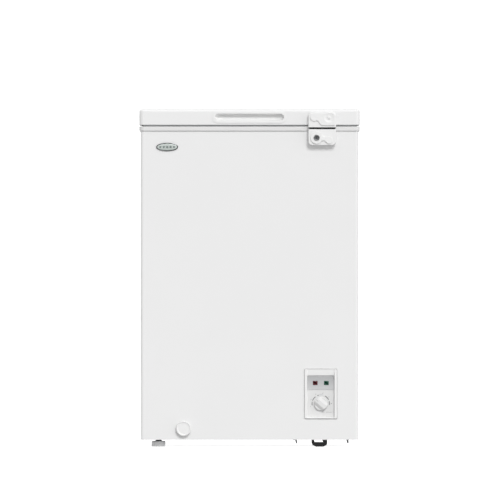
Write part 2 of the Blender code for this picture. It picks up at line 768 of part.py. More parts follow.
def make_right_foot(name, y, finish):
    """Moulded stirrup with a window above its sole, fixed under the tray."""
    half = STIRRUP_WIDTH / 2
    top = BASE_TOP - GAP
    outline = [
        (-half, top),
        (-half, 0.0056),
        (-half * 0.80, 0.0034),
        (-half * 0.48, 0.0),
        (half * 0.48, 0.0),
        (half * 0.80, 0.0034),
        (half, 0.0056),
        (half, top),
    ]
    window = [
        (-half * 0.74, top - 0.0011),
        (-half * 0.63, SOLE_TOP),
        (half * 0.58, SOLE_TOP),
        (half * 0.26, top - 0.0011),
    ]
    y0 = -STIRRUP_LENGTH / 2
    y1 = STIRRUP_LENGTH / 2
    foot = put(name, prism(outline, y0, y1, "XZ"), finish["black_plastic"], (STIRRUP_X, y, 0.0))
    hole = prism(window, y0 - PAST, y1 + PAST, "XZ")
    bmesh.ops.translate(hole, verts=hole.verts, vec=(STIRRUP_X, y, 0))
    return cut(foot, hole)


# ================================================================== front fittings
def panel_outline(grown=0.0):
    centre = (PANEL_X, PANEL_BOTTOM + PANEL_HEIGHT / 2)
    corner = 0.004 + max(grown, -0.003)
    return rounded_rectangle(PANEL_WIDTH + 2 * grown, PANEL_HEIGHT + 2 * grown, corner, centre)


def make_bezel(finish):
    floor_front = FRONT + PANEL_SINK
    floor_back = floor_front + PLASTIC
    frame = prism(panel_outline(), FRONT - PANEL_PROUD, FRONT - GAP, "XZ")
    bezel = put("control_bezel", frame, finish["white_plastic"])
    add(bezel, prism(panel_outline(-PANEL_LAP), FRONT - PANEL_PROUD + 0.001, floor_back, "XZ"))
    x0 = PANEL_X - PANEL_WIDTH / 2 + PANEL_BORDER
    x1 = PANEL_X + PANEL_WIDTH / 2 - PANEL_BORDER
    z0 = PANEL_BOTTOM + 0.0045
    z1 = PANEL_BOTTOM + PANEL_HEIGHT - 0.0040
    slope = PANEL_SINK / (PANEL_SINK + PANEL_PROUD) * SLOPE_HEIGHT
    outside = FRONT - PANEL_PROUD - 0.001
    section = [
        (outside, z0 - 0.0010),
        (floor_front, z0 + 0.0025),
        (floor_front, z1 - SLOPE_HEIGHT),
        (FRONT, z1 - SLOPE_HEIGHT + slope),
        (outside, z1 + 0.0015),
    ]
    cut(bezel, prism(section, x0, x1, "YZ"))
    for side in (-1, 1):
        cut(bezel, lamp_block(side, 0.0003, FRONT, floor_back + 0.005))
    neck = prism(circle(0.0052, (PANEL_X, DIAL_Z), 12), FRONT, floor_back + 0.005, "XZ")
    return cut(bezel, neck)


def lamp_block(side, grown, y0, y1):
    x = PANEL_X + side * LAMP_SPACING / 2
    half_w = LAMP_WIDTH / 2 + grown
    half_h = LAMP_HEIGHT / 2 + grown
    return box(x - half_w, x + half_w, y0, y1, LAMP_Z - half_h, LAMP_Z + half_h)


def make_indicators(finish):
    floor_front = FRONT + PANEL_SINK
    x0 = PANEL_X - PANEL_WIDTH / 2 + PANEL_BORDER + GAP
    x1 = PANEL_X + PANEL_WIDTH / 2 - PANEL_BORDER - GAP
    z1 = PANEL_BOTTOM + PANEL_HEIGHT - 0.0040 - SLOPE_HEIGHT - 0.0006
    strip = put(
        "indicator_strip",
        box(x0, x1, floor_front - GAP - SHEET, floor_front - GAP, STRIP_BOTTOM, z1),
        finish["panel_grey"],
    )
    for side, name, colour in ((-1, "red_lens", "red_lamp"), (1, "green_lens", "green_lamp")):
        cut(strip, lamp_block(side, 0.0003, FRONT - 0.01, FRONT + 0.02))
        put(name, lamp_block(side, 0.0, floor_front - 0.0022, floor_front + 0.0060), finish[colour])


def make_thermostat(finish):
    """Switch body with its threaded neck behind the panel, and the knob on its spindle."""
    back = FRONT + PANEL_SINK + PLASTIC + GAP
    half = THERMOSTAT_WIDTH / 2
    high = THERMOSTAT_HEIGHT / 2
    depth = THERMOSTAT_DEPTH
    body = box(PANEL_X - half, PANEL_X + half, back, back + depth, DIAL_Z - high, DIAL_Z + high)
    unit = put("thermostat_body", body, finish["zinc"])
    neck = [(0.0048, -0.001), (0.0048, PLASTIC + GAP)]
    add(unit, turned(neck, 12, forward=True, centre=(PANEL_X, back, DIAL_Z)))
    bore = [(SPINDLE_RADIUS + GAP, -0.010), (SPINDLE_RADIUS + GAP, 0.02)]
    cut(unit, turned(bore, 12, forward=True, centre=(PANEL_X, back, DIAL_Z)))

    floor_front = FRONT + PANEL_SINK
    axis = (PANEL_X, floor_front, DIAL_Z)
    turning = pivot("dial_axis", axis)
    skirt = KNOB_SKIRT
    profile = [
        (KNOB_RADIUS - 0.0006, 0.0006),
        (KNOB_RADIUS, 0.0012),
        (KNOB_RADIUS, skirt - 0.0008),
        (KNOB_RADIUS - 0.0008, skirt),
    ]
    disc = turned(profile, 32, forward=True)
    knob = put("thermostat_knob", disc, finish["white_plastic"], axis, turning)
    along = Vector((math.cos(DIAL_TILT), 0, math.sin(DIAL_TILT)))
    across = Vector((-math.sin(DIAL_TILT), 0, math.cos(DIAL_TILT)))
    half_long = KNOB_RADIUS - 0.0010
    bar = [
        (0.0062, 0.0, skirt - 0.001),
        (0.0044, 0.0, KNOB_HEIGHT - 0.0012),
        (0.0034, 0.0008, KNOB_HEIGHT),
    ]
    rings = []
    for half_wide, shrink, height in bar:
        level = Vector(axis) - Vector((0, height, 0))
        long = 2 * (half_long - shrink)
        outline = rounded_rectangle(long, 2 * half_wide, half_wide * 0.9, segments=3)
        rings.append([level + along * u + across * v for u, v in outline])
    add(knob, stacked(rings))
    socket = [(SPINDLE_RADIUS + GAP, -0.001), (SPINDLE_RADIUS + GAP, 0.0105)]
    cut(knob, turned(socket, 12, forward=True, centre=axis))
    shaft = [(SPINDLE_RADIUS, -0.0100), (SPINDLE_RADIUS, 0.0102)]
    put("thermostat_spindle", turned(shaft, 12, forward=True), finish["zinc"], axis, turning)


def make_badge(finish):
    centre = (BADGE_X, BADGE_Z)
    rings = []
    for shrink, height in ((0.0, GAP), (0.0, 0.0016), (0.0012, BADGE_THICKNESS)):
        outline = ellipse(BADGE_WIDTH - 2 * shrink, BADGE_HEIGHT - 2 * shrink, centre)
        rings.append([(u, FRONT - height, v) for u, v in outline])
    badge = put("badge", stacked(rings), finish["chrome"])
    field = ellipse(BADGE_WIDTH - 0.0058, BADGE_HEIGHT - 0.0054, centre)
    return cut(badge, prism(field, FRONT - PAST, FRONT - 0.0019, "XZ"))


def lock_face(x, z, low, high, shape):
    """Relief on a lock face: low and high are distances in front of the cabinet."""
    return prism([(x + u, z + v) for u, v in shape], FRONT - high, FRONT - low, "XZ")


def square_topped(width, height, corner):
    """Outline about its own middle whose two lower corners are rounded, anticlockwise."""
    half_w = width / 2
    half_h = height / 2
    left = arc((-half_w + corner, -half_h + corner), corner, 180, 270, 4)
    right = arc((half_w - corner, -half_h + corner), corner, 270, 360, 4)
    return [(half_w, half_h), (-half_w, half_h), *left, *right]


def make_lock(finish):
    """Housing on the cabinet, the key cylinder in it and the bolt that rises behind its face."""
    plain = LOCK_DEPTH - LOCK_RELIEF
    z_mid = HOUSING_TOP - HOUSING_HEIGHT / 2
    shape = square_topped(LOCK_WIDTH, HOUSING_HEIGHT, LOCK_CORNER)
    housing = put("lock_housing", lock_face(LOCK_X, z_mid, GAP, plain, shape), finish["white_plastic"])
    lobes = two_lobes((-0.0144, -0.0018), 0.0150, (0.0172, -0.0078), 0.0088, 0.0120, 0.0075)
    add(housing, lock_face(LOCK_X, z_mid, plain - 0.001, LOCK_DEPTH, lobes))

    wide = LOCK_WIDTH
    notch = FRONT - COLLAR_OVERHANG - GAP
    above = box(LOCK_X - wide, LOCK_X + wide, notch, FRONT + PAST, COLLAR_BOTTOM - GAP, HEIGHT)
    cut(housing, above)
    half = BOLT_WIDTH / 2 + 0.0010
    slot_front = notch - BOLT_THICKNESS - 0.0012
    slot_low = HOUSING_TOP - BOLT_LENGTH + 0.002
    cut(housing, box(LOCK_X - half, LOCK_X + half, slot_front, notch, slot_low, HEIGHT))
    bore = circle(CYLINDER_RADIUS + GAP, (CYLINDER_X, CYLINDER_Z), 20)
    bore_end = FRONT - LOCK_DEPTH + CYLINDER_LENGTH + 0.001
    cut(housing, prism(bore, FRONT - LOCK_DEPTH - PAST, bore_end, "XZ"))

    front = FRONT - LOCK_DEPTH
    axis = (CYLINDER_X, front + 0.0006 + CYLINDER_LENGTH, CYLINDER_Z)
    profile = [
        (CYLINDER_RADIUS, 0),
        (CYLINDER_RADIUS, CYLINDER_LENGTH - 0.0005),
        (CYLINDER_RADIUS - 0.0005, CYLINDER_LENGTH),
    ]
    cylinder = put("lock_cylinder", turned(profile, 20, forward=True), finish["zinc"], axis)
    x, z = CYLINDER_X, CYLINDER_Z
    keyway = box(x - 0.0007, x + 0.0007, front - PAST, front + 0.006, z - 0.004, z + 0.004)
    cut(cylinder, keyway)

    bolt = box(-BOLT_WIDTH / 2, BOLT_WIDTH / 2, -BOLT_THICKNESS, 0, -BOLT_LENGTH, 0)
    bolt_at = (LOCK_X, notch - 0.0003, KEEPER_BOTTOM - BOLT_REST)
    put("lock_bolt", bolt, finish["black_plastic"], bolt_at)


def make_keeper(finish, parent):
    """Catch on the lid, with the pocket that the bolt enters."""
    plain = LOCK_DEPTH - LOCK_RELIEF
    z_mid = KEEPER_BOTTOM + KEEPER_HEIGHT / 2
    upright = square_topped(LOCK_WIDTH, KEEPER_HEIGHT, LOCK_CORNER)
    shape = [(LOCK_X - u, z_mid - v) for u, v in upright]
    body = prism(shape, FRONT - plain, LID_FRONT - GAP, "XZ")
    keeper = put("lock_keeper", body, finish["white_plastic"], parent=parent)
    lobes = two_lobes((-0.0203, 0.0070), 0.0100, (0.0150, 0.0020), 0.0150, 0.0200, 0.0110)
    add(keeper, lock_face(LOCK_X, z_mid, plain - 0.001, LOCK_DEPTH, lobes))
    pad = rounded_rectangle(0.036, 0.022, 0.004, (0.0125, -0.0030))
    add(keeper, lock_face(LOCK_X, z_mid, LOCK_DEPTH - 0.001, LOCK_DEPTH, pad))
    half = BOLT_WIDTH / 2 + 0.0015
    slot_front = FRONT - COLLAR_OVERHANG - GAP - BOLT_THICKNESS - 0.0016
    slot_top = KEEPER_BOTTOM + BOLT_TRAVEL + 0.0025
    slot = box(LOCK_X - half, LOCK_X + half, slot_front, FRONT, KEEPER_BOTTOM - PAST, slot_top)
    return cut(keeper, slot)


def make_drain(finish):
    """Tube in the floor insulation, the cap that closes it in front and the stopper in the floor."""
    outer = DRAIN_BORE + DRAIN_WALL
    tube = put("drain_tube", swept(drain_path(), outer, 10), finish["grey_plastic"])
    longer = drain_path()
    longer[0] = (DRAIN_X, DRAIN_BEND_Y, FLOOR + PAST)
    longer[-1] = (DRAIN_X, FRONT - PAST, DRAIN_Z)
    cut(tube, swept(longer, DRAIN_BORE, 10))

    front = FRONT - SHEET - GAP
    stem = DRAIN_BORE * math.cos(math.pi / 10) - GAP
    profile = [
        (stem - 0.001, -0.016),
        (stem, -0.015),
        (stem, 0.0),
        (DRAIN_CAP_RADIUS, 0.0),
        (DRAIN_CAP_RADIUS, DRAIN_CAP_HEIGHT - 0.0015),
        (DRAIN_CAP_RADIUS - 0.0015, DRAIN_CAP_HEIGHT),
    ]
    plug = turned(profile, 28, forward=True)
    put("drain_plug", plug, finish["white_plastic"], (DRAIN_X, front, DRAIN_Z))
    profile = [
        (stem - 0.001, -0.012),
        (stem, -0.011),
        (stem, GAP),
        (0.0130, GAP),
        (0.0130, 0.0030),
        (0.0110, 0.0042),
        (0.0045, 0.0042),
        (0.0038, 0.0100),
    ]
    stopper_at = (DRAIN_X, DRAIN_BEND_Y, FLOOR)
    put("drain_stopper", turned(profile, 16), finish["grey_plastic"], stopper_at)


# ================================================================== lid
def handle_outline():
    corner = HANDLE_HEIGHT / 2 - 0.0001
    return rounded_rectangle(HANDLE_LENGTH, HANDLE_HEIGHT, corner, (0, HANDLE_Z), 6)


def pocket_outline(grown=0.0):
    """The finger recess inside the handle's rim."""
    height = HANDLE_HEIGHT - HANDLE_RIM_ABOVE - HANDLE_RIM_BELOW + 2 * grown
    length = HANDLE_LENGTH - 2 * HANDLE_RIM_ENDS + 2 * grown
    z = HANDLE_Z + (HANDLE_RIM_BELOW - HANDLE_RIM_ABOVE) / 2
    return rounded_rectangle(length, height, height / 2 - 0.0001, (0, z), 6)


def make_lid(finish, parent):
    lid_block = rounded_block(WIDTH, DEPTH, LID_BOTTOM, LID_TOP, CORNER, LID_EDGE, Y_MID)
    shell = put("lid_shell", lid_block, finish["white_steel"], parent=parent)
    inside = rounded_block(
        WIDTH - 2 * SHEET,
        DEPTH - 2 * SHEET,
        LID_BOTTOM - PAST,
        LID_TOP - SHEET,
        CORNER - SHEET,
        LID_EDGE - SHEET,
        Y_MID,
    )
    cut(shell, inside)
    cut(shell, prism(pocket_outline(PLASTIC + GAP), LID_FRONT - PAST, LID_FRONT + PAST, "XZ"))

    inset = SHEET + GAP
    wide = WIDTH - 2 * inset
    deep = DEPTH - 2 * inset
    foam_low = LID_BOTTOM + PLASTIC + GAP
    filling = rounded_block(
        wide, deep, foam_low, LID_TOP - inset, CORNER - inset, LID_EDGE - inset, Y_MID
    )
    foam = put("lid_insulation", filling, finish["foam"], parent=parent)
    plug_low = LID_BOTTOM - PLUG_DROP
    add(foam, prism(plug_outline(-PLASTIC - GAP), plug_low + PLASTIC + GAP, foam_low + 0.005))
    pocket_end = LID_FRONT + HANDLE_DEPTH + PLASTIC
    cut(foam, prism(pocket_outline(PLASTIC + GAP), LID_FRONT - PAST, pocket_end + GAP, "XZ"))

    outline = rounded_rectangle(wide, deep, CORNER - inset, (0, Y_MID))
    sheet = prism(outline, LID_BOTTOM, LID_BOTTOM + PLASTIC)
    liner = put("lid_liner", sheet, finish["white_plastic"], parent=parent)
    add(liner, prism(plug_outline(), plug_low, LID_BOTTOM + PLASTIC * 0.5))
    cut(liner, prism(plug_outline(-PLASTIC), plug_low + PLASTIC, LID_BOTTOM + PAST))

    wide = WIDTH - 2 * GASKET_INSET
    deep = DEPTH - 2 * GASKET_INSET
    outer = rounded_rectangle(wide, deep, CORNER - 0.003, (0, Y_MID))
    seal = prism(outer, COLLAR_TOP + GAP, LID_BOTTOM - GAP)
    gasket = put("lid_gasket", seal, finish["gasket"], parent=parent)
    wide -= 2 * GASKET_WIDTH
    deep -= 2 * GASKET_WIDTH
    inner = rounded_rectangle(wide, deep, CORNER, (0, Y_MID))
    cut(gasket, prism(inner, COLLAR_TOP - PAST, LID_BOTTOM + PAST))

    proud = LID_FRONT - HANDLE_PROUD
    frame = prism(handle_outline(), proud, LID_FRONT - GAP, "XZ")
    insert = put("handle_insert", frame, finish["white_plastic"], parent=parent)
    add(insert, prism(pocket_outline(PLASTIC), proud + HANDLE_PROUD / 2, pocket_end, "XZ"))
    cut(insert, prism(pocket_outline(), LID_FRONT - PAST, LID_FRONT + HANDLE_DEPTH, "XZ"))


def plug_outline(grown=0.0):
    """The part of the lid liner that dips into the cabinet's mouth."""
    width = CAVITY_WIDTH - 2 * PLUG_INSET + 2 * grown
    depth = CAVITY_DEPTH - 2 * PLUG_INSET + 2 * grown
    return rounded_rectangle(width, depth, CAVITY_CORNER + grown, (0, Y_MID))


# ================================================================== hinges
def ear(x, plate_y, plate_low, plate_high, above):
    """Cheek from a plate to a round end about the hinge axis: above it for the arm, below for the base."""
    half = PLATE / 2
    if above:
        points = arc((AXIS_Y, AXIS_Z), EAR_RADIUS, -140, 40, 9)
        points += [(plate_y, plate_high), (plate_y, plate_low)]
    else:
        points = arc((AXIS_Y, AXIS_Z), EAR_RADIUS, -40, 180, 11)
        points += [(LID_BACK + 0.0040, COLLAR_BOTTOM - 0.001), (plate_y, HINGE_TOP), (plate_y, plate_low)]
    return prism(points, x - half, x + half, "YZ")


def make_hinge(name, side, finish, lid):
    x = side * HINGE_X
    half = HINGE_WIDTH / 2
    pin_bore = (PIN_RADIUS + 0.0002) / math.cos(math.pi / 12)
    bore = circle(pin_bore, (AXIS_Y, AXIS_Z), 12)

    base_y0 = BACK_FACE + GAP
    base_low = HINGE_TOP - HINGE_PLATE_HEIGHT
    plate = box(x - half, x + half, base_y0, base_y0 + PLATE, base_low, HINGE_TOP)
    base = put(f"hinge_base_{name}", plate, finish["zinc"])
    for sign in (-1, 1):
        at = x + sign * (half - PLATE)
        add(base, ear(at, base_y0 + PLATE * 0.5, base_low + 0.012, HINGE_TOP, False))
    cut(base, prism(bore, x - HINGE_WIDTH, x + HINGE_WIDTH, "YZ"))

    arm_y0 = LID_BACK + GAP
    arm_low = AXIS_Z + 0.0020
    arm_high = LID_TOP - LID_EDGE - 0.0015
    arm_half = half - 0.004
    plate = box(x - arm_half, x + arm_half, arm_y0, arm_y0 + PLATE, arm_low, arm_high)
    arm = put(f"hinge_arm_{name}", plate, finish["zinc"], parent=lid)
    for sign in (-1, 1):
        at = x + sign * (half - 3 * PLATE - 0.0005)
        add(arm, ear(at, arm_y0 + PLATE * 0.5, arm_low, arm_high - 0.006, True))
    cut(arm, prism(bore, x - HINGE_WIDTH, x + HINGE_WIDTH, "YZ"))

    pin_half = half + 0.002
    pin = prism(circle(PIN_RADIUS, (0, 0), 12), -pin_half, pin_half, "YZ")
    put(f"hinge_pin_{name}", pin, finish["zinc"], (x, AXIS_Y, AXIS_Z))
    spring = make_spring(half - 5 * PLATE - 0.003)
    put(f"hinge_spring_{name}", spring, finish["zinc"], (x, AXIS_Y, AXIS_Z))


def make_spring(half):
    """Coil about the hinge pin with two legs that reach down to the base plate."""
    radius = PIN_RADIUS + 0.0008 + SPRING_WIRE
    per_turn = 8
    count = SPRING_TURNS * per_turn
    coil = []
    for i in range(count + 1):
        angle = 2 * math.pi * i / per_turn - math.pi / 2
        along = -half + 2 * half * i / count
        coil.append((along, radius * math.cos(angle), radius * math.sin(angle)))
    leg_y = BACK_FACE + GAP + PLATE + SPRING_WIRE + 0.0004 - AXIS_Y
    bend_z = COLLAR_BOTTOM - 0.002 - AXIS_Z
    end_z = bend_z - 0.014
    first = [(-half, leg_y, end_z), (-half, leg_y, bend_z)]
    last = [(half, leg_y, bend_z), (half, leg_y, end_z)]
    return swept(first + coil + last, SPRING_WIRE, 4)


# ================================================================== basket
def u_wire(along_x, offset, half, depth_low, corner=0.012):
    """Wire from rim to rim under the basket, across X or along Y, at an offset along the other axis."""
    left = arc((-half + corner, depth_low + corner), corner, 180, 270, 2)
    right = arc((half - corner, depth_low + corner), corner, 270, 360, 2)
    section = [(-half, RIM_Z)] + left + right + [(half, RIM_Z)]
    if along_x:
        return [(BASKET_X + u, Y_MID + offset, z) for u, z in section]
    return [(BASKET_X + offset, Y_MID + u, z) for u, z in section]


def make_basket(finish):
    half_x = BASKET_WIDTH / 2 - RIM_RADIUS
    half_y = CAVITY_DEPTH / 2 - 0.0060 - RIM_RADIUS
    low = RIM_Z - BASKET_HEIGHT
    rim = rounded_rectangle(2 * half_x, 2 * half_y, 0.018, segments=3)
    rail = swept([(BASKET_X + u, Y_MID + v, RIM_Z) for u, v in rim], RIM_RADIUS, 5, closed=True)
    basket = put("wire_basket", rail, finish["basket_white"])
    wires = []
    end_gap = 0.024
    for i in range(CROSS_WIRES):
        offset = (2 * i / (CROSS_WIRES - 1) - 1) * (half_y - end_gap)
        wires.append(swept(u_wire(True, offset, half_x, low), WIRE_RADIUS, 4))
    for i in range(LONG_WIRES):
        offset = (2 * i / (LONG_WIRES - 1) - 1) * (half_x - end_gap)
        wires.append(swept(u_wire(False, offset, half_y, low), WIRE_RADIUS, 4))
    band = [(BASKET_X + u, Y_MID + v, RIM_Z - BASKET_HEIGHT / 2) for u, v in rim]
    wires.append(swept(band, WIRE_RADIUS, 4, closed=True))
    shelf = LEDGE_TOP + GAP + RIM_RADIUS
    for end in (-1, 1):
        for sign in (-1, 1):
            x = BASKET_X + sign * half_x * 0.55
            reach = CAVITY_DEPTH / 2 + LEDGE_WIDTH - 0.0035
            hook = [
                (x, Y_MID + end * half_y, RIM_Z),
                (x, Y_MID + end * half_y, shelf - 0.0035),
                (x, Y_MID + end * (half_y + 0.0035), shelf),
                (x, Y_MID + end * reach, shelf),
            ]
            wires.append(swept(hook, RIM_RADIUS - 0.0001, 5))
    return add(basket, merged(wires))


# ================================================================== machine bay
def mount_points():
    signs = ((-1, -1), (-1, 1), (1, -1), (1, 1))
    return [(COMPRESSOR_X + sx * MOUNT_X, COMPRESSOR_Y + sy * MOUNT_Y) for sx, sy in signs]


def make_compressor(finish):
    tray_top = BASE_TOP + PLATE
    plate_low = tray_top + GAP + GROMMET_HEIGHT + GAP
    plate_high = plate_low + 0.0030
    height = COMPRESSOR_TOP - plate_high
    rings = []
    levels = [(0.62, 0.0), (0.86, 0.05), (0.97, 0.14), (1.0, 0.26), (1.0, 0.50), (1.035, 0.51)]
    levels += [(1.035, 0.545), (1.0, 0.555), (0.99, 0.76), (0.93, 0.88), (0.78, 0.96), (0.50, 1.0)]
    centre = (COMPRESSOR_X, COMPRESSOR_Y)
    for share, level in levels:
        outline = ellipse(COMPRESSOR_WIDTH * share, COMPRESSOR_LENGTH * share, centre, 24)
        rings.append([(u, v, plate_high - 0.001 + (height + 0.001) * level) for u, v in outline])
    compressor = put("compressor", stacked(rings), finish["black_steel"])
    plate = rounded_rectangle(2 * MOUNT_X + 0.024, 2 * MOUNT_Y + 0.024, 0.010, centre)
    add(compressor, prism(plate, plate_low, plate_high))
    for i, (x, y) in enumerate(mount_points()):
        hole = circle(0.0064, (x, y), 12)
        cut(compressor, prism(hole, 0, plate_high + 0.002))
        grommet = [
            (0.0036, 0),
            (GROMMET_RADIUS, 0),
            (GROMMET_RADIUS, GROMMET_HEIGHT),
            (GROMMET_WAIST, GROMMET_HEIGHT),
            (GROMMET_WAIST, GROMMET_HEIGHT + 0.0060),
            (0.0036, GROMMET_HEIGHT + 0.0060),
        ]
        put(
            f"compressor_grommet_{i + 1}",
            turned(grommet, 12, looped=True),
            finish["rubber"],
            (x, y, tray_top + GAP),
        )
        head = GROMMET_HEIGHT + 0.0060 + GAP
        bolt = [(BOLT_SHANK, -0.0080), (BOLT_SHANK, head), (0.0085, head), (0.0085, head + 0.0012)]
        bolt += [(0.0055, head + 0.0012), (0.0055, head + 0.0052)]
        put(f"compressor_bolt_{i + 1}", turned(bolt, 12), finish["zinc"], (x, y, tray_top + GAP))
    return compressor


def make_bay_fittings(finish):
    """Terminal cover, filter drier and pipes round the compressor."""
    front_y = COMPRESSOR_Y - COMPRESSOR_LENGTH / 2
    cover_z = 0.085
    cover = rounded_rectangle(0.050, 0.058, 0.006, (COMPRESSOR_X, cover_z + 0.029), 2)
    put("terminal_cover", prism(cover, front_y - 0.036, front_y - 0.0040, "XZ"), finish["black_plastic"])

    drier = [
        (0.0030, 0),
        (0.0034, 0.006),
        (0.0095, 0.016),
        (0.0095, 0.084),
        (0.0034, 0.094),
        (0.0026, 0.100),
    ]
    drier_at = (BAY_LEFT + 0.026, BACK - 0.045, 0.095)
    put("filter_drier", turned(drier, 14), finish["copper"], drier_at)

    side_x = COMPRESSOR_X + COMPRESSOR_WIDTH / 2
    evaporator_end = Vector(evaporator_path()[0])
    suction = smooth(
        [
            (COMPRESSOR_X + 0.020, front_y + 0.0300, COMPRESSOR_TOP + 0.0015),
            (COMPRESSOR_X + 0.020, front_y + 0.0290, COMPRESSOR_TOP + 0.0150),
            (COMPRESSOR_X + 0.030, front_y + 0.0100, COMPRESSOR_TOP + 0.0230),
            (evaporator_end.x - 0.010, evaporator_end.y - 0.030, COMPRESSOR_TOP + 0.0200),
            (evaporator_end.x, evaporator_end.y - 0.008, evaporator_end.z - 0.0190),
            (evaporator_end.x, evaporator_end.y, evaporator_end.z - 0.0010),
        ]
    )
    put("suction_pipe", swept(suction, 0.0032, 8), finish["copper"])
    condenser_end = Vector(condenser_path()[0])
    discharge = smooth(
        [
            (side_x + 0.0035, COMPRESSOR_Y + 0.010, 0.075),
            (side_x + 0.0060, COMPRESSOR_Y + 0.012, 0.076),
            (side_x + 0.0100, COMPRESSOR_Y + 0.030, 0.085),
            (condenser_end.x - 0.002, condenser_end.y - 0.010, 0.110),
            (condenser_end.x, condenser_end.y, 0.150),
            (condenser_end.x, condenser_end.y, condenser_end.z - 0.0010),
        ]
    )
    put("discharge_pipe", swept(discharge, 0.0024, 8), finish["copper"])

    start = (PANEL_X - 0.0205, FRONT + PANEL_SINK + PLASTIC + 0.013, DIAL_Z + 0.012)
    sensing = smooth(
        [
            start,
            (BAY_LEFT + 0.016, start[1] + 0.004, start[2] + 0.004),
            (BAY_LEFT + 0.010, start[1] + 0.030, start[2] + 0.030),
            (BAY_LEFT + 0.007, start[1] + 0.070, BAY_TOP - 0.080),
            (BAY_LEFT + 0.007, start[1] + 0.090, BAY_TOP - 0.030),
            (BAY_LEFT + 0.007, start[1] + 0.100, BAY_TOP - 0.004),
        ],
        3,
    )
    put("sensing_capillary", swept(sensing, 0.0011, 5), finish["copper"])

    u, v = gland_centre()
    profile = [
        (0.0040, -0.0060),
        (0.0064, -0.0060),
        (0.0064, SHEET + 2 * GAP),
        (0.0092, SHEET + 2 * GAP),
        (0.0086, 0.0052),
        (0.0040, 0.0052),
    ]
    rings = []
    for radius, height in profile:
        rings.append([(a, height, b) for a, b in circle(radius, segments=12)])
    put("cord_gland", stacked(rings, looped=True), finish["black_plastic"], (u, BACK_FACE, v))


def make_coils(finish):
    put("evaporator_coil", swept(evaporator_path(), EVAPORATOR_RADIUS), finish["galvanised"])
    put("condenser_coil", swept(condenser_path(), CONDENSER_RADIUS), finish["galvanised"])


# ================================================================== whole object
def main():
    for obj in list(bpy.data.objects):
        bpy.data.objects.remove(obj)
    finish = make_finishes()

    make_outer_shell(finish)
    make_back_panel(finish)
    make_rear_grille(finish)
    make_insulation(finish)
    make_inner_liner(finish)
    make_collar(finish)
    make_base(finish)
    make_bay_lining(finish)
    make_coils(finish)

    for name, y in zip(("front", "rear"), foot_rows()):
        make_left_foot(f"foot_{name}_left", y, finish)
        make_right_foot(f"foot_{name}_right", y, finish)

    make_bezel(finish)
    make_indicators(finish)
    make_thermostat(finish)
    make_badge(finish)
    make_drain(finish)
    make_lock(finish)

    lid = pivot("lid_axis", (0, AXIS_Y, AXIS_Z))
    make_lid(finish, lid)
    make_keeper(finish, lid)
    for name, side in (("left", -1), ("right", 1)):
        make_hinge(name, side, finish, lid)

    make_basket(finish)
    make_compressor(finish)
    make_bay_fittings(finish)
    for obj in bpy.data.objects:
        if obj.type == "MESH":
            shade_round(obj)


main()
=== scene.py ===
"""Looks of the chest freezer round its CAD frame: finishes, pieces and studio. Metres, front at -Y."""

import json
import math

import bmesh
import bpy
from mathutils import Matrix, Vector

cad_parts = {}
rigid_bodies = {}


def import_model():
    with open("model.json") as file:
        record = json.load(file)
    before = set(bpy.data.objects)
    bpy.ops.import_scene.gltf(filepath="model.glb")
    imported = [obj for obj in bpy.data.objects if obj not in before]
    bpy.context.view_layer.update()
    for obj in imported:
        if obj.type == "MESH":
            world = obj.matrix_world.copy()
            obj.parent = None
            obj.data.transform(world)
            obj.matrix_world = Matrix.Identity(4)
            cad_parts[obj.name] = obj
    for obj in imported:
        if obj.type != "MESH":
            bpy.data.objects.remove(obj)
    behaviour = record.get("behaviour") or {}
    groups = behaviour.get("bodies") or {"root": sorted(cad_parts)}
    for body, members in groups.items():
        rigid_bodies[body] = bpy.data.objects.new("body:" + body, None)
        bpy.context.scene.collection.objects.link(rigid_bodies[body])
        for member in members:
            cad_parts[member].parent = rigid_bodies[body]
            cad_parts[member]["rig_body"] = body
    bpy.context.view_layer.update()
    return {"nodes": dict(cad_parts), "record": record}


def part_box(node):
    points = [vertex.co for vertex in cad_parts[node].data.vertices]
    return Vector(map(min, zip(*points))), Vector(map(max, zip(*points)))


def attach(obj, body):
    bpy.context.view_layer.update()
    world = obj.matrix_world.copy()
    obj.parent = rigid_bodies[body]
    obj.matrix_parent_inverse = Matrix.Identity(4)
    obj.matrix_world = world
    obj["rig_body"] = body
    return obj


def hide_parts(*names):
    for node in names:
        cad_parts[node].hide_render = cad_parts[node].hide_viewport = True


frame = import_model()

# ------------------------------------------------------------------ planes and places, from the CAD nodes
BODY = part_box("outer_shell")
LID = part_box("lid_shell")
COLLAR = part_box("top_collar")
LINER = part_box("inner_liner")
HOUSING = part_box("lock_housing")
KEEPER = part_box("lock_keeper")
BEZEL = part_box("control_bezel")
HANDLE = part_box("handle_insert")
FRONT = BODY[0].y
BACK = BODY[1].y
Y_MID = (FRONT + BACK) / 2
GAP = 0.0003
SHEET = 0.0008


def middle(node):
    low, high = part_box(node)
    return (low + high) / 2


# ------------------------------------------------------------------ outlines
def arc(cx, cy, radius, start, end, steps):
    angles = [math.radians(start + (end - start) * i / steps) for i in range(steps + 1)]
    return [(cx + radius * math.cos(a), cy + radius * math.sin(a)) for a in angles]


def rounded(width, height, radius, cx=0.0, cy=0.0, steps=8):
    """Rounded rectangle, anticlockwise from its top right corner, with one radius or one for each corner."""
    radii = radius if isinstance(radius, tuple) else (radius,) * 4
    outline = []
    for (sx, sy, start), r in zip(((1, 1, 0), (-1, 1, 90), (-1, -1, 180), (1, -1, 270)), radii):
        outline += arc(cx + sx * (width / 2 - r), cy + sy * (height / 2 - r), r, start, start + 90, steps)
    return outline


def ring_of(radius, cx=0.0, cy=0.0, steps=32):
    return arc(cx, cy, radius, 0, 360 * (1 - 1 / steps), steps - 1)


def oval(width, height, cx, cy, steps=48):
    turn = [2 * math.pi * i / steps for i in range(steps)]
    return [(cx + width / 2 * math.cos(a), cy + height / 2 * math.sin(a)) for a in turn]


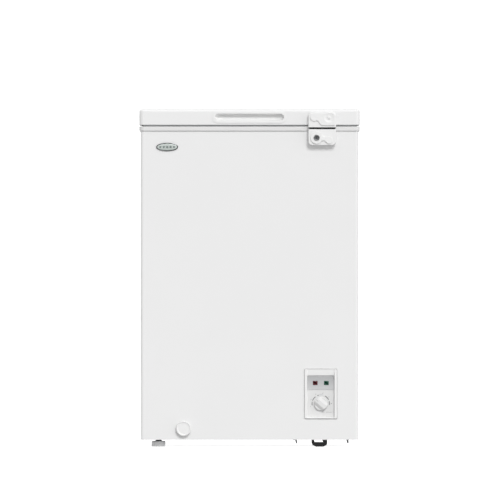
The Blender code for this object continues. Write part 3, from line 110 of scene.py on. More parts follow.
def grown(outline, by):
    """Outline moved outwards by a distance at every point."""
    count = len(outline)
    moved = []
    for i, (u, v) in enumerate(outline):
        back = next(p for p in (outline[i - k] for k in range(1, count)) if math.dist(p, (u, v)) > 1e-7)
        ahead = next(p for p in (outline[(i + k) % count] for k in range(1, count))
                     if math.dist(p, (u, v)) > 1e-7)
        a = Vector((u - back[0], v - back[1])).normalized()
        b = Vector((ahead[0] - u, ahead[1] - v)).normalized()
        normal = Vector((a.y + b.y, -a.x - b.x))
        normal = normal.normalized() if normal.length > 1e-9 else Vector((a.y, -a.x))
        stretch = 1 / max(0.5, normal.dot(Vector((a.y, -a.x))))
        moved.append((u + normal.x * by * stretch, v + normal.y * by * stretch))
    return moved


def two_lobes(first, r1, second, r2, above, below):
    """Two circles, the first on the left, joined by two hollow arcs of the radii above and below."""
    steps = 10

    def angle(frm, to):
        return math.degrees(math.atan2(to[1] - frm[1], to[0] - frm[0]))

    def hollow(radius, side):
        a, b, reach = r1 + radius, r2 + radius, math.dist(first, second)
        along = (a * a - b * b + reach * reach) / (2 * reach)
        off = side * math.sqrt(a * a - along * along)
        ux, uz = (second[0] - first[0]) / reach, (second[1] - first[1]) / reach
        return (first[0] + ux * along - uz * off, first[1] + uz * along + ux * off)

    top, bottom = hollow(above, 1), hollow(below, -1)
    outline = arc(*first, r1, angle(first, top), angle(first, bottom) + 360, 3 * steps)
    outline += arc(*bottom, below, angle(bottom, first), angle(bottom, second), steps)[1:]
    outline += arc(*second, r2, angle(second, bottom), angle(second, top), 3 * steps)[1:]
    return outline + arc(*top, above, angle(top, second) + 360, angle(top, first) + 360, steps)[1:-1]


# ------------------------------------------------------------------ solids, as bmesh
def loft(rings, loop=False):
    """Skin through rings of as many points each, closed on itself with loop, else with its ends capped."""
    bm = bmesh.new()
    rows = [[bm.verts.new(p) for p in ring] for ring in rings]
    pairs = list(zip(rows, rows[1:]))
    if loop:
        pairs.append((rows[-1], rows[0]))
    else:
        for row in (rows[0], rows[-1]):
            bm.faces.new(row)
    count = len(rows[0])
    for low, high in pairs:
        for i in range(count):
            j = (i + 1) % count
            bm.faces.new((low[i], low[j], high[j], high[i]))
    bmesh.ops.remove_doubles(bm, verts=bm.verts, dist=1e-7)
    bmesh.ops.recalc_face_normals(bm, faces=bm.faces)
    return bm


def facing(y):
    """Places an outline's (u, v) and a height in front of the plane y."""
    return lambda u, v, h: (u, y - h, v)


def upright(u, v, h):
    return (u, v, h)


def behind(u, v, h):
    """Places an outline's (u, v) as seen from the front, at h along Y."""
    return (u, h, v)


def seen(node, radius, steps):
    """Rounded outline of a node's box as seen from the front."""
    low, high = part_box(node)
    return rounded(high.x - low.x, high.z - low.z, radius, (low.x + high.x) / 2, (low.z + high.z) / 2, steps)


def bore(x, y, radius, z0, z1):
    """Upright round cutter."""
    return loft([[(x + u, y + v, z) for u, v in ring_of(radius)] for z in (z0, z1)])


def rising(rows, y):
    """Solid through outlines, each at its own height in front of the plane y: rows are (outline, height)."""
    return loft([[(u, y - h, v) for u, v in outline] for outline, h in rows])


def stepped(outline, levels, place=upright):
    """Solid from one outline grown by an amount at each height: levels are (grown by, height) pairs."""
    return loft([[place(u, v, h) for u, v in grown(outline, by)] for by, h in levels])


def edge_levels(low, high, radius, bottom=0.0, steps=4):
    """Levels of a slab whose top edge is rounded, and its bottom edge too if bottom is given."""
    levels = []
    if bottom:
        for i in range(steps + 1):
            a = math.pi / 2 * i / steps
            levels.append((-bottom * (1 - math.sin(a)), low + bottom * (1 - math.cos(a))))
    else:
        levels.append((0.0, low))
    for i in range(steps + 1):
        a = math.pi / 2 * i / steps
        levels.append((-radius * (1 - math.cos(a)), high - radius * (1 - math.sin(a))))
    return levels


def slab(outline, low, high, radius, place=upright, bottom=0.0, steps=4):
    return stepped(outline, edge_levels(low, high, radius, bottom, steps), place)


def box(x0, x1, y0, y1, z0, z1):
    return loft([[(x0, y0, z), (x1, y0, z), (x1, y1, z), (x0, y1, z)] for z in (z0, z1)])


def turned(profile, centre=(0, 0, 0), axis="Z", steps=48, loop=False):
    """Solid turned from (radius, height) pairs about Z, towards the front (F), the back (B) or along X."""
    cx, cy, cz = centre
    place = {
        "Z": lambda u, v, h: (cx + u, cy + v, cz + h),
        "F": lambda u, v, h: (cx + u, cy - h, cz + v),
        "B": lambda u, v, h: (cx + u, cy + h, cz + v),
        "X": lambda u, v, h: (cx + h, cy + u, cz + v),
    }[axis]
    return loft([[place(u, v, h) for u, v in ring_of(max(r, 1e-5), steps=steps)] for r, h in profile], loop)


def tube(points, radius, sides=10, closed=False):
    """Round bar along points, carried along without twisting, with slightly domed ends."""
    points = [Vector(p) for p in points]
    count = len(points)
    rings, normal = [], None
    for i, point in enumerate(points):
        before = points[i - 1] if closed or i else points[0]
        after = points[(i + 1) % count] if closed or i < count - 1 else points[-1]
        tangent = (after - before).normalized()
        normal = tangent.orthogonal() if normal is None else normal
        normal = (normal - tangent * normal.dot(tangent)).normalized()
        across = tangent.cross(normal)
        turn = [2 * math.pi * k / sides for k in range(sides)]
        ring = [point + radius * (math.cos(a) * normal + math.sin(a) * across) for a in turn]
        if not closed and i == 0:
            rings.append([point + (p - point) * 0.6 - tangent * radius * 0.3 for p in ring])
        rings.append(ring)
        if not closed and i == count - 1:
            rings.append([point + (p - point) * 0.6 + tangent * radius * 0.3 for p in ring])
    return loft(rings, closed)


def curve_through(points, steps=8):
    """Catmull-Rom curve through the points."""
    points = [Vector(p) for p in points]
    padded = [2 * points[0] - points[1], *points, 2 * points[-1] - points[-2]]
    curve = []
    for a, b, c, d in zip(padded, padded[1:], padded[2:], padded[3:]):
        for i in range(steps):
            t = i / steps
            bend = (2 * a - 5 * b + 4 * c - d) * t * t
            curve.append(0.5 * (2 * b + (c - a) * t + bend + (3 * b - 3 * c + d - a) * t**3))
    return curve + [points[-1]]


def together(*solids):
    """Several solids as one bmesh, their shells side by side."""
    whole = bmesh.new()
    for bm in solids:
        mesh = bpy.data.meshes.new("shell")
        bm.to_mesh(mesh)
        bm.free()
        whole.from_mesh(mesh)
        bpy.data.meshes.remove(mesh)
    return whole


def raw(name, bm):
    mesh = bpy.data.meshes.new(name)
    bm.to_mesh(mesh)
    bm.free()
    obj = bpy.data.objects.new(name, mesh)
    bpy.context.scene.collection.objects.link(obj)
    return obj


def settle(obj):
    """Applies the object's modifiers to its mesh."""
    bpy.context.view_layer.update()
    made = bpy.data.meshes.new_from_object(obj.evaluated_get(bpy.context.evaluated_depsgraph_get()))
    obj.modifiers.clear()
    old, obj.data = obj.data, made
    bpy.data.meshes.remove(old)
    return obj


def combined(bm, tools, operation="DIFFERENCE"):
    """bmesh after exact booleans with the tools, one by one."""
    obj = raw("work", bm)
    for tool_bm in tools:
        tool = raw("tool", tool_bm)
        modifier = obj.modifiers.new("boolean", "BOOLEAN")
        modifier.solver = "EXACT"
        modifier.operation = operation
        modifier.object = tool
        settle(obj)
        mesh = tool.data
        bpy.data.objects.remove(tool)
        bpy.data.meshes.remove(mesh)
    made = bmesh.new()
    made.from_mesh(obj.data)
    mesh = obj.data
    bpy.data.objects.remove(obj)
    bpy.data.meshes.remove(mesh)
    return made


def cad_copy(node):
    """The CAD node's mesh with its seams welded and its flat faces joined."""
    bm = bmesh.new()
    bm.from_mesh(frame["nodes"][node].data)
    bmesh.ops.remove_doubles(bm, verts=bm.verts, dist=1e-6)
    bmesh.ops.dissolve_limit(bm, angle_limit=math.radians(1), verts=bm.verts, edges=bm.edges)
    bmesh.ops.recalc_face_normals(bm, faces=bm.faces)
    return bm


# ------------------------------------------------------------------ finishes
class Finish:
    """A Principled material and short calls for its node tree, in object coordinates, in metres."""

    def __init__(self, name, rough=0.5, metallic=0.0, **sockets):
        self.made = bpy.data.materials.new(name)
        self.made.use_nodes = True
        self.tree = self.made.node_tree
        self.shader = self.tree.nodes["Principled BSDF"]
        self.shader.inputs["Roughness"].default_value = rough
        self.shader.inputs["Metallic"].default_value = metallic
        for socket, value in sockets.items():
            self.shader.inputs[socket.replace("_", " ")].default_value = value
        self.place = self.node("TexCoord").outputs["Object"]

    def node(self, kind, **settings):
        made = self.tree.nodes.new("ShaderNode" + kind)
        for key, value in settings.items():
            setattr(made, key, value)
        return made

    def link(self, output, target):
        self.tree.links.new(output, target)

    def stretched(self, x, y, z):
        mapping = self.node("Mapping")
        mapping.inputs["Scale"].default_value = (x, y, z)
        self.link(self.place, mapping.inputs["Vector"])
        return mapping.outputs["Vector"]

    def noise(self, scale, detail=3.0, place=None):
        made = self.node("TexNoise")
        made.inputs["Scale"].default_value = scale
        made.inputs["Detail"].default_value = detail
        self.link(place or self.place, made.inputs["Vector"])
        return made.outputs["Fac"]

    def cells(self, scale, feature="F1", output="Distance"):
        made = self.node("TexVoronoi", feature=feature)
        made.inputs["Scale"].default_value = scale
        self.link(self.place, made.inputs["Vector"])
        return made.outputs[output]

    def ranged(self, value, low, high, start=0.3, end=0.7):
        made = self.node("MapRange")
        self.link(value, made.inputs["Value"])
        for key, number in (("From Min", start), ("From Max", end), ("To Min", low), ("To Max", high)):
            made.inputs[key].default_value = number
        return made.outputs["Result"]

    def ramp(self, value, *stops):
        made = self.node("ValToRGB")
        self.link(value, made.inputs["Fac"])
        ramp = made.color_ramp
        while len(ramp.elements) < len(stops):
            ramp.elements.new(0.5)
        for element, (position, colour) in zip(ramp.elements, stops):
            element.position = position
            element.color = (*colour, 1.0)
        return made.outputs["Color"]

    def colour(self, output):
        self.link(output, self.shader.inputs["Base Color"])
        return self

    def roughness(self, output):
        self.link(output, self.shader.inputs["Roughness"])
        return self

    def bump(self, *heights):
        """Bumps one over another: (output, distance in metres, strength)."""
        normal = None
        for output, distance, strength in heights:
            made = self.node("Bump")
            made.inputs["Distance"].default_value = distance
            made.inputs["Strength"].default_value = strength
            self.link(output, made.inputs["Height"])
            if normal:
                self.link(normal, made.inputs["Normal"])
            normal = made.outputs["Normal"]
        self.link(normal, self.shader.inputs["Normal"])
        return self


def shades(colour, spread):
    """A darker and a lighter version of a colour."""
    return tuple(c * (1 - spread) for c in colour), tuple(min(1.0, c * (1 + spread)) for c in colour)


def moulded(name, colour, rough, spread=0.02, grain=2600.0, depth=0.00004, patch=18.0, **sockets):
    """Moulded plastic or paint: faint mottling, fine grain and a slightly uneven gloss."""
    made = Finish(name, rough, **sockets)
    dark, light = shades(colour, spread)
    made.colour(made.ramp(made.noise(patch, 4), (0.3, dark), (0.7, light)))
    made.roughness(made.ranged(made.noise(patch * 2.3, 3), rough - 0.05, rough + 0.06))
    return made.bump((made.noise(grain, 2), depth, 0.5), (made.noise(patch * 0.6, 2), 0.0004, 0.06))


def metal(name, colour, rough, spread=0.08):
    """Metal with faint drawn streaks along one direction."""
    made = Finish(name, rough, 1.0)
    dark, light = shades(colour, spread)
    lines = made.noise(300.0, 4, made.stretched(1.0, 1.0, 14.0))
    made.colour(made.ramp(made.noise(40, 4), (0.3, dark), (0.7, light)))
    made.roughness(made.ranged(lines, rough - 0.08, rough + 0.12))
    return made.bump((lines, 0.00003, 0.35))


def make_finishes():
    f = {}
    f["white_steel"] = moulded("white_steel", (0.775, 0.775, 0.775), 0.36, 0.006, 420, 0.000012, 7,
                               Coat_Weight=0.25)
    f["white_plastic"] = moulded("white_plastic", (0.775, 0.775, 0.772), 0.42, 0.010, 2400, 0.00003)
    f["collar_plastic"] = moulded("collar_plastic", (0.705, 0.705, 0.702), 0.42, 0.010, 2400, 0.00003)
    # Panel plastic with painted light and shade by depth along Y: lighter on the recess slope and walls,
    # darker on the recess floor
    tray = Finish("panel_plastic", 0.40)
    depth = tray.node("SeparateXYZ")
    tray.link(tray.place, depth.inputs["Vector"])
    painted_depth_shade = tray.ranged(depth.outputs["Y"], 0.0, 1.0, BEZEL[0].y, FRONT + 0.0065)
    tray.colour(tray.ramp(painted_depth_shade, (0.04, (0.800, 0.800, 0.797)), (0.12, (0.930, 0.930, 0.927)),
                          (0.90, (0.930, 0.930, 0.927)), (0.97, (0.690, 0.690, 0.688))))
    f["panel_plastic"] = tray.bump((tray.noise(2400, 3), 0.00002, 0.3))
    f["dial_plastic"] = moulded("dial_plastic", (0.70, 0.70, 0.697), 0.40, 0.010, 2400, 0.00003)
    f["lid_plastic"] = moulded("lid_plastic", (0.76, 0.765, 0.765), 0.36, 0.012, 900, 0.00006)

    liner = Finish("liner", 0.36, 0.25)
    liner.colour(liner.ramp(liner.noise(22, 4), (0.3, (0.70, 0.71, 0.72)), (0.7, (0.79, 0.80, 0.81))))
    dents = liner.cells(150, "SMOOTH_F1")
    liner.roughness(liner.ranged(dents, 0.28, 0.46, 0.0, 0.6))
    f["liner"] = liner.bump((dents, 0.0009, 0.55), (liner.noise(60, 3), 0.0004, 0.25))

    galvanised = Finish("galvanised", 0.42, 0.85)
    spangle = galvanised.cells(95, "F1", "Color")
    galvanised.colour(galvanised.ramp(spangle, (0.0, (0.36, 0.37, 0.39)), (1.0, (0.58, 0.59, 0.60))))
    galvanised.roughness(galvanised.ranged(spangle, 0.30, 0.55, 0.0, 1.0))
    f["galvanised"] = galvanised.bump((galvanised.noise(260, 4), 0.00006, 0.4))

    # Base sheet: a dark copy of the galvanised finish, its darkness painted shade for the shadow under the
    # cabinet
    shaded_sheet = Finish("base_sheet", 0.5, 0.6)
    shaded_sheet.colour(shaded_sheet.ramp(shaded_sheet.noise(120, 5), (0.3, (0.10, 0.105, 0.11)), (0.7, (0.16, 0.165, 0.17))))
    f["base_sheet"] = shaded_sheet.bump((shaded_sheet.noise(500, 4), 0.00006, 0.4))

    f["evaporator_tube"] = metal("evaporator_tube", (0.70, 0.71, 0.72), 0.4)
    foam = Finish("foam", 0.95)
    foam.colour(foam.ramp(foam.noise(90, 6), (0.3, (0.74, 0.62, 0.38)), (0.7, (0.86, 0.76, 0.52))))
    f["foam"] = foam.bump((foam.cells(700), 0.0006, 0.6), (foam.noise(120, 4), 0.001, 0.3))

    gasket = Finish("gasket", 0.62)
    gasket.colour(gasket.ramp(gasket.noise(50, 4), (0.3, (0.60, 0.61, 0.62)), (0.7, (0.68, 0.69, 0.70))))
    f["gasket"] = gasket.bump((gasket.noise(1800, 2), 0.00005, 0.5))

    # Grey for the ring round the panel frame: painted shadow for the shadow gap at the frame's edge
    f["seal_grey"] = moulded("seal_grey", (0.42, 0.42, 0.42), 0.6, 0.04, 1800, 0.00004)
    f["black_steel"] = moulded("black_steel", (0.022, 0.022, 0.024), 0.34, 0.25, 700, 0.00005, 30,
                               Coat_Weight=0.3)
    f["black_plastic"] = moulded("black_plastic", (0.022, 0.022, 0.023), 0.52, 0.20, 1500, 0.00006, 40)
    f["grommet_rubber"] = moulded("grommet_rubber", (0.035, 0.035, 0.034), 0.78, 0.20, 900, 0.00008, 60)
    f["zinc"] = metal("zinc", (0.60, 0.61, 0.62), 0.34, 0.10)
    f["copper"] = metal("copper", (0.72, 0.36, 0.20), 0.30, 0.20)
    f["steel_dark"] = metal("steel_dark", (0.17, 0.175, 0.18), 0.38, 0.15)
    # Foot pads: a lighter copy of the grey plastic, its extra brightness painted light from below
    f["foot_plastic"] = moulded("foot_plastic", (0.93, 0.935, 0.94), 0.50, 0.03, 1500, 0.00006)
    f["grey_plastic"] = moulded("grey_plastic", (0.62, 0.625, 0.63), 0.50, 0.04, 1500, 0.00006)
    f["badge_print"] = moulded("badge_print", (0.055, 0.085, 0.078), 0.4, 0.1, 2000, 0.00002)
    f["print_grey"] = moulded("print_grey", (0.10, 0.10, 0.105), 0.5, 0.05, 2000, 0.00002)
    # Lamp band grey, darker towards its top: painted shade for the shadow under the panel's top slope
    band = Finish("panel_grey", 0.38, 0.35)
    fade = band.node("SeparateXYZ")
    band.link(band.place, fade.inputs["Vector"])
    strip_low, strip_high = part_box("indicator_strip")
    across = band.ranged(fade.outputs["Z"], 0.0, 1.0, strip_low.z, strip_high.z)
    band.colour(band.ramp(across, (0.0, (0.62, 0.625, 0.63)), (1.0, (0.46, 0.465, 0.47))))
    f["panel_grey"] = band.bump((band.noise(900, 3, band.stretched(0.04, 1.0, 1.0)), 0.00002, 0.3))
    f["chrome"] = metal("chrome", (0.12, 0.123, 0.126), 0.16, 0.08)
    f["badge_plate"] = moulded("badge_plate", (0.55, 0.60, 0.575), 0.28, 0.12, 900, 0.00002, Metallic=0.3)
    f["basket_wire"] = moulded("basket_wire", (0.74, 0.74, 0.735), 0.36, 0.02, 1200, 0.00005)
    for name, colour in (("red_lamp", (0.11, 0.006, 0.010)), ("green_lamp", (0.006, 0.10, 0.055))):
        lamp = Finish(name, 0.12, IOR=1.49, Coat_Weight=0.6)
        dark, light = shades(colour, 0.35)
        lamp.colour(lamp.ramp(lamp.cells(520), (0.0, light), (0.8, dark)))
        f[name] = lamp.bump((lamp.cells(520), 0.0003, 0.4))
    return {key: finish.made for key, finish in f.items()}


FINISH = make_finishes()


def piece(name, bm, body, slot, finish=None, replaces=(), sharp=32, bevel=0.0, segments=3):
    """A visible piece from a bmesh: shaded smooth up to an angle, or with its edges bevelled."""
    obj = raw(name, bm)
    obj.data.materials.append(FINISH[finish or slot])
    obj.data.shade_smooth()
    if bevel:
        modifier = obj.modifiers.new("edges", "BEVEL")
        modifier.width = bevel
        modifier.segments = segments
        modifier.limit_method = "ANGLE"
        modifier.angle_limit = math.radians(sharp)
        modifier.use_clamp_overlap = True
    else:
        obj.data.set_sharp_from_angle(angle=math.radians(sharp))
    weighted = obj.modifiers.new("normals", "WEIGHTED_NORMAL")
    weighted.keep_sharp = True
    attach(obj, body)
    if replaces:
        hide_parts(*replaces)
    return obj


# ------------------------------------------------------------------ cabinet and lid
def ring(width, depth, corner, z):
    return [(u, v, z) for u, v in rounded(width, depth, max(corner, 0.002), 0.0, Y_MID)]


def insets(size, corner, levels):
    """Rings of a rounded rectangle of that (width, depth), moved in by an amount at each height."""
    return [ring(size[0] - 2 * by, size[1] - 2 * by, corner - by, z) for by, z in levels]


LID_SIZE = (LID[1].x - LID[0].x, LID[1].y - LID[0].y)
BODY_SIZE = (BODY[1].x - BODY[0].x, BODY[1].y - BODY[0].y)
MOUTH_SIZE = (LINER[1].x - LINER[0].x - 2 * SHEET, LINER[1].y - LINER[0].y - 2 * SHEET)
CORNER = 0.010
BODY_CORNER = 0.007
MOUTH_CORNER = 0.020
HANDLE_MID = (HANDLE[0].z + HANDLE[1].z) / 2
POCKET_SIZE = (0.1726, 0.0168)
POCKET_LIFT = 0.0007  # recess above the middle of the handle
LEDGE_Z = 0.797  # basket ledge in the collar
BASKET_RIM_Z = 0.787
STEP_Z = 0.312  # over the machine bay
WELL_Z = 0.085  # floor of the storage space


def pocket(ends=0.0, below=0.0, above=0.0, out=0.0):
    """Outline of the finger recess, moved in at its ends, below and above."""
    width = POCKET_SIZE[0] - 2 * ends + 2 * out
    height = POCKET_SIZE[1] - below - above + 2 * out
    z = HANDLE_MID + POCKET_LIFT + (below - above) / 2
    return rounded(width, height, height / 2 - 0.0002, 0.0, z, 10)


def quarter(radius, steps=6):
    """(in, down) of a rounded edge, from the side face to the top face."""
    turn = [math.pi / 2 * i / steps for i in range(steps + 1)]
    return [(radius * (1 - math.cos(a)), radius * (1 - math.sin(a))) for a in turn]


def make_lid():
    low, top = LID[0].z - 0.0008, LID[1].z
    edge, hem, crown = 0.007, 0.0012, 0.0006
    outside = [(hem, low), (hem * 0.3, low + hem * 0.3), (0.0, low + hem)]
    outside += [(0.0, low + 0.010)] + [(by, top - crown - down) for by, down in quarter(edge, 8)]
    outside += [(0.03, top - crown * 0.7), (0.08, top - crown * 0.35), (0.15, top - crown * 0.08),
                (0.23, top)]
    inside = [(by + SHEET, z - SHEET) for by, z in reversed(outside[3:])] + [(hem, low)]
    shell = loft(insets(LID_SIZE, CORNER, inside[:-1] + outside))
    opening = stepped(pocket(out=0.0019), [(0, 0.01), (0, -0.01)], facing(LID[0].y))
    piece("lid_skin", combined(shell, [opening]), "lid", "white_steel", replaces=["lid_shell"], sharp=40)

    outer = rounded(HANDLE[1].x - HANDLE[0].x, HANDLE[1].z - HANDLE[0].z, 0.0139, 0.0, HANDLE_MID, 10)
    proud = LID[0].y - HANDLE[0].y
    deep = HANDLE[1].y - LID[0].y
    wall = 0.0016
    rows = [(pocket(out=wall), -deep), (pocket(out=wall), -0.0004), (outer, GAP)]
    rows += [(grown(outer, -by), proud - down) for by, down in quarter(0.0004, 3)]
    rows += [(pocket(out=0.0008), proud), (pocket(out=0.0003), proud - 0.0002), (pocket(), proud - 0.0008)]
    turn = [math.pi / 2 * i / 10 for i in range(1, 11)]
    bowl = [(1 - math.cos(a), math.sin(a)) for a in turn]
    scoop = [(0.0130 * by, 0.0056 * by, 0.0036 * by, 0.0010 + 0.0105 * down) for by, down in bowl]
    rows += [(pocket(a, b, c), -d) for a, b, c, d in scoop]
    handle = rising(rows, LID[0].y)
    piece("handle", handle, "lid", "white_plastic", replaces=["handle_insert"], sharp=50)


def make_lid_underside():
    """Lid liner with a plug that dips into the mouth and a raised field on it, and the bellows gasket."""
    low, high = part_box("lid_liner")
    size = (high.x - low.x, high.y - low.y)
    wall = 0.0016
    plug = tuple(s - 0.028 for s in MOUTH_SIZE)
    z = LID[0].z
    under = [ring(*size, CORNER - 0.001, z)]
    gutter = [s - 2 * (0.0065 + 0.016 + 0.003) for s in LID_SIZE]
    under += [ring(*gutter, 0.012, z), ring(*[g - 0.003 for g in gutter], 0.012, z + 0.0008)]
    under += [ring(*[p + 0.006 for p in plug], 0.024, z + 0.0008),
              ring(*[p + 0.003 for p in plug], 0.0225, z)]
    under += [ring(*[p + 0.0004 for p in plug], 0.021, z - 0.003)]
    for by, down in quarter(0.004, 6):
        under.append(ring(*[p - 2 * by for p in plug], 0.020, low.z + down))
    for by, up in ((0.0300, 0.0), (0.0310, 0.0002), (0.0325, 0.0010), (0.0335, 0.0012)):
        under.append(ring(*[p - 2 * by for p in plug], 0.018, low.z + up))
    over = [ring(*size, CORNER - 0.001, z + wall), ring(*[p - 0.004 for p in plug], 0.020, z + wall)]
    over += [ring(*[p - 0.006 for p in plug], 0.018, low.z + wall),
             ring(*[p - 0.067 for p in plug], 0.018, low.z + wall)]
    rings = list(reversed(under)) + over
    piece("lid_inner_panel", loft(rings), "lid", "white_plastic", "lid_plastic", ["lid_liner"], sharp=50)

    low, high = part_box("lid_gasket")
    tall = high.z - low.z
    section = [(0.0015, 0.0), (0.0003, 0.12), (0.0, 0.25), (0.0013, 0.40), (0.0013, 0.48), (0.0, 0.62),
               (0.0, 0.78)]
    section += [(0.0010, 0.92), (0.0030, 1.0), (0.0130, 1.0), (0.0150, 0.92), (0.0160, 0.78), (0.0160, 0.62)]
    section += [(0.0147, 0.48), (0.0147, 0.40), (0.0160, 0.25), (0.0157, 0.12), (0.0145, 0.0)]
    section += [(0.0112, 0.0), (0.0105, 0.10), (0.0055, 0.10), (0.0048, 0.0)]
    outer = (high.x - low.x, high.y - low.y)
    rings = [ring(*[s - 2 * by for s in outer], 0.010, low.z + tall * share) for by, share in section]
    piece("door_seal", loft(rings, loop=True), "lid", "gasket", replaces=["lid_gasket"], sharp=60)


def make_collar():
    low, top = COLLAR[0].z, COLLAR[1].z
    ledge_wide = 0.013
    rings = insets(LID_SIZE, CORNER + 0.002,
                   [(0.0040, low), (0.0009, low), (0.0004, low + 0.0003), (0.0002, low + 0.0010)])
    rings += insets(LID_SIZE, CORNER + 0.002, [(by, top - down) for by, down in quarter(0.0013, 5)])
    ledge = tuple(s + 2 * ledge_wide for s in MOUTH_SIZE)
    corner = MOUTH_CORNER + ledge_wide
    rings += insets(ledge, corner, [(-by, top - down) for by, down in reversed(quarter(0.0012, 4))])
    rings += insets(ledge, corner, [(by, LEDGE_Z + 0.0015 - up) for by,
                                    up in ((0, 0), (0.0004, 0.0011), (0.0015, 0.0015))])
    mouth = [(-by, LEDGE_Z - down) for by, down in reversed(quarter(0.0012, 4))]
    rings += insets(MOUTH_SIZE, MOUTH_CORNER, mouth + [(0.0, low)])
    piece("collar_frame", loft(rings, loop=True), "cabinet", "white_plastic", "collar_plastic",
          replaces=["top_collar"], sharp=50)


def louvre(x, y0, y1, z):
    """Pressed hood over a slot in the right wall, open below."""
    reach, tall, thick, taper = 0.0025, 0.0056, 0.0007, 0.007
    shape = [(0.00, 1.0), (0.30, 0.97), (0.68, 0.80), (0.92, 0.52), (1.0, 0.20), (1.0, 0.0)]
    rings = []
    stations = 20
    for i in range(stations + 1):
        y = y0 + (y1 - y0) * i / stations
        near = min(1.0, min(y - y0, y1 - y) / taper)
        swell = math.sin(math.pi / 2 * near) ** 0.7 if near > 0 else 0.0
        out = 0.0002 + (reach - 0.0002) * swell
        outer = [(x + out * s, z + tall * t) for s, t in shape]
        inner = [(x + max(out * s - thick, -0.0001), z + (tall - thick) * t) for s, t in reversed(shape)]
        rings.append([(u, y, v) for u, v in outer + inner])
    return loft(rings)


def make_cabinet():
    low, top = BODY[0].z, BODY[1].z
    flange, fold = 0.014, 0.0012
    levels = [(0.0, top), (0.0, low + 0.3), (0.0, low + fold)]
    levels += [(by, low + down) for by, down in quarter(fold, 4)[1:]]
    rings = insets(BODY_SIZE, BODY_CORNER, levels)
    opening = [s - 2 * flange for s in BODY_SIZE]
    rings += [ring(*opening, 0.004, low), ring(*opening, 0.004, low + SHEET)]
    rings += insets(BODY_SIZE, BODY_CORNER, [(SHEET, low + SHEET), (SHEET, low + 0.3), (SHEET, top)])
    half = BODY_SIZE[0] / 2 - flange
    drain = middle("drain_plug")
    width, height = BEZEL[1].x - BEZEL[0].x, BEZEL[1].z - BEZEL[0].z
    bezel_mid = (BEZEL[0] + BEZEL[1]) / 2
    window = rounded(width - 0.0038, height - 0.0038, 0.002, bezel_mid.x, bezel_mid.z, 4)
    tools = [
        box(-half, half, BACK - 0.005, BACK + 0.005, low + flange, top + 0.01),
        stepped(window, [(0, 0.01), (0, -0.005)], facing(FRONT)),
        stepped(ring_of(0.0081, drain.x, drain.z), [(0, 0.01), (0, -0.005)], facing(FRONT)),
    ]
    right = BODY[1].x
    slots = [low + 0.060 + 0.011 * i for i in range(8)]
    y0, y1 = BACK - 0.130, BACK - 0.050
    for z in slots:
        tools.append(box(right - 0.005, right + 0.005, y0 + 0.001, y1 - 0.001, z, z + 0.004))
    shell = combined(loft(rings, loop=True), tools)
    hoods = [louvre(right, y0 - 0.002, y1 + 0.002, z - 0.0006) for z in slots]
    piece("cabinet_skin", shell, "cabinet", "white_steel", replaces=["outer_shell"], sharp=40)
    piece("side_louvres", together(*hoods), "cabinet", "white_steel", sharp=50)


# ------------------------------------------------------------------ lock
LOCK_MID = (HOUSING[0] + HOUSING[1]) / 2
LOCK_WIDE = HOUSING[1].x - HOUSING[0].x
LOCK_OUT = FRONT - HOUSING[0].y
LOCK_PLAIN = LOCK_OUT - 0.0030
HOUSING_TALL = HOUSING[1].z - HOUSING[0].z
KEEPER_TALL = KEEPER[1].z - KEEPER[0].z
KEEPER_MID = (KEEPER[0].z + KEEPER[1].z) / 2
CYLINDER = middle("lock_cylinder")


def relief(outline, x, z, low, high, edge):
    shape = [(x + u, z + v) for u, v in outline]
    return slab(shape, low, high, edge, facing(FRONT), steps=5)


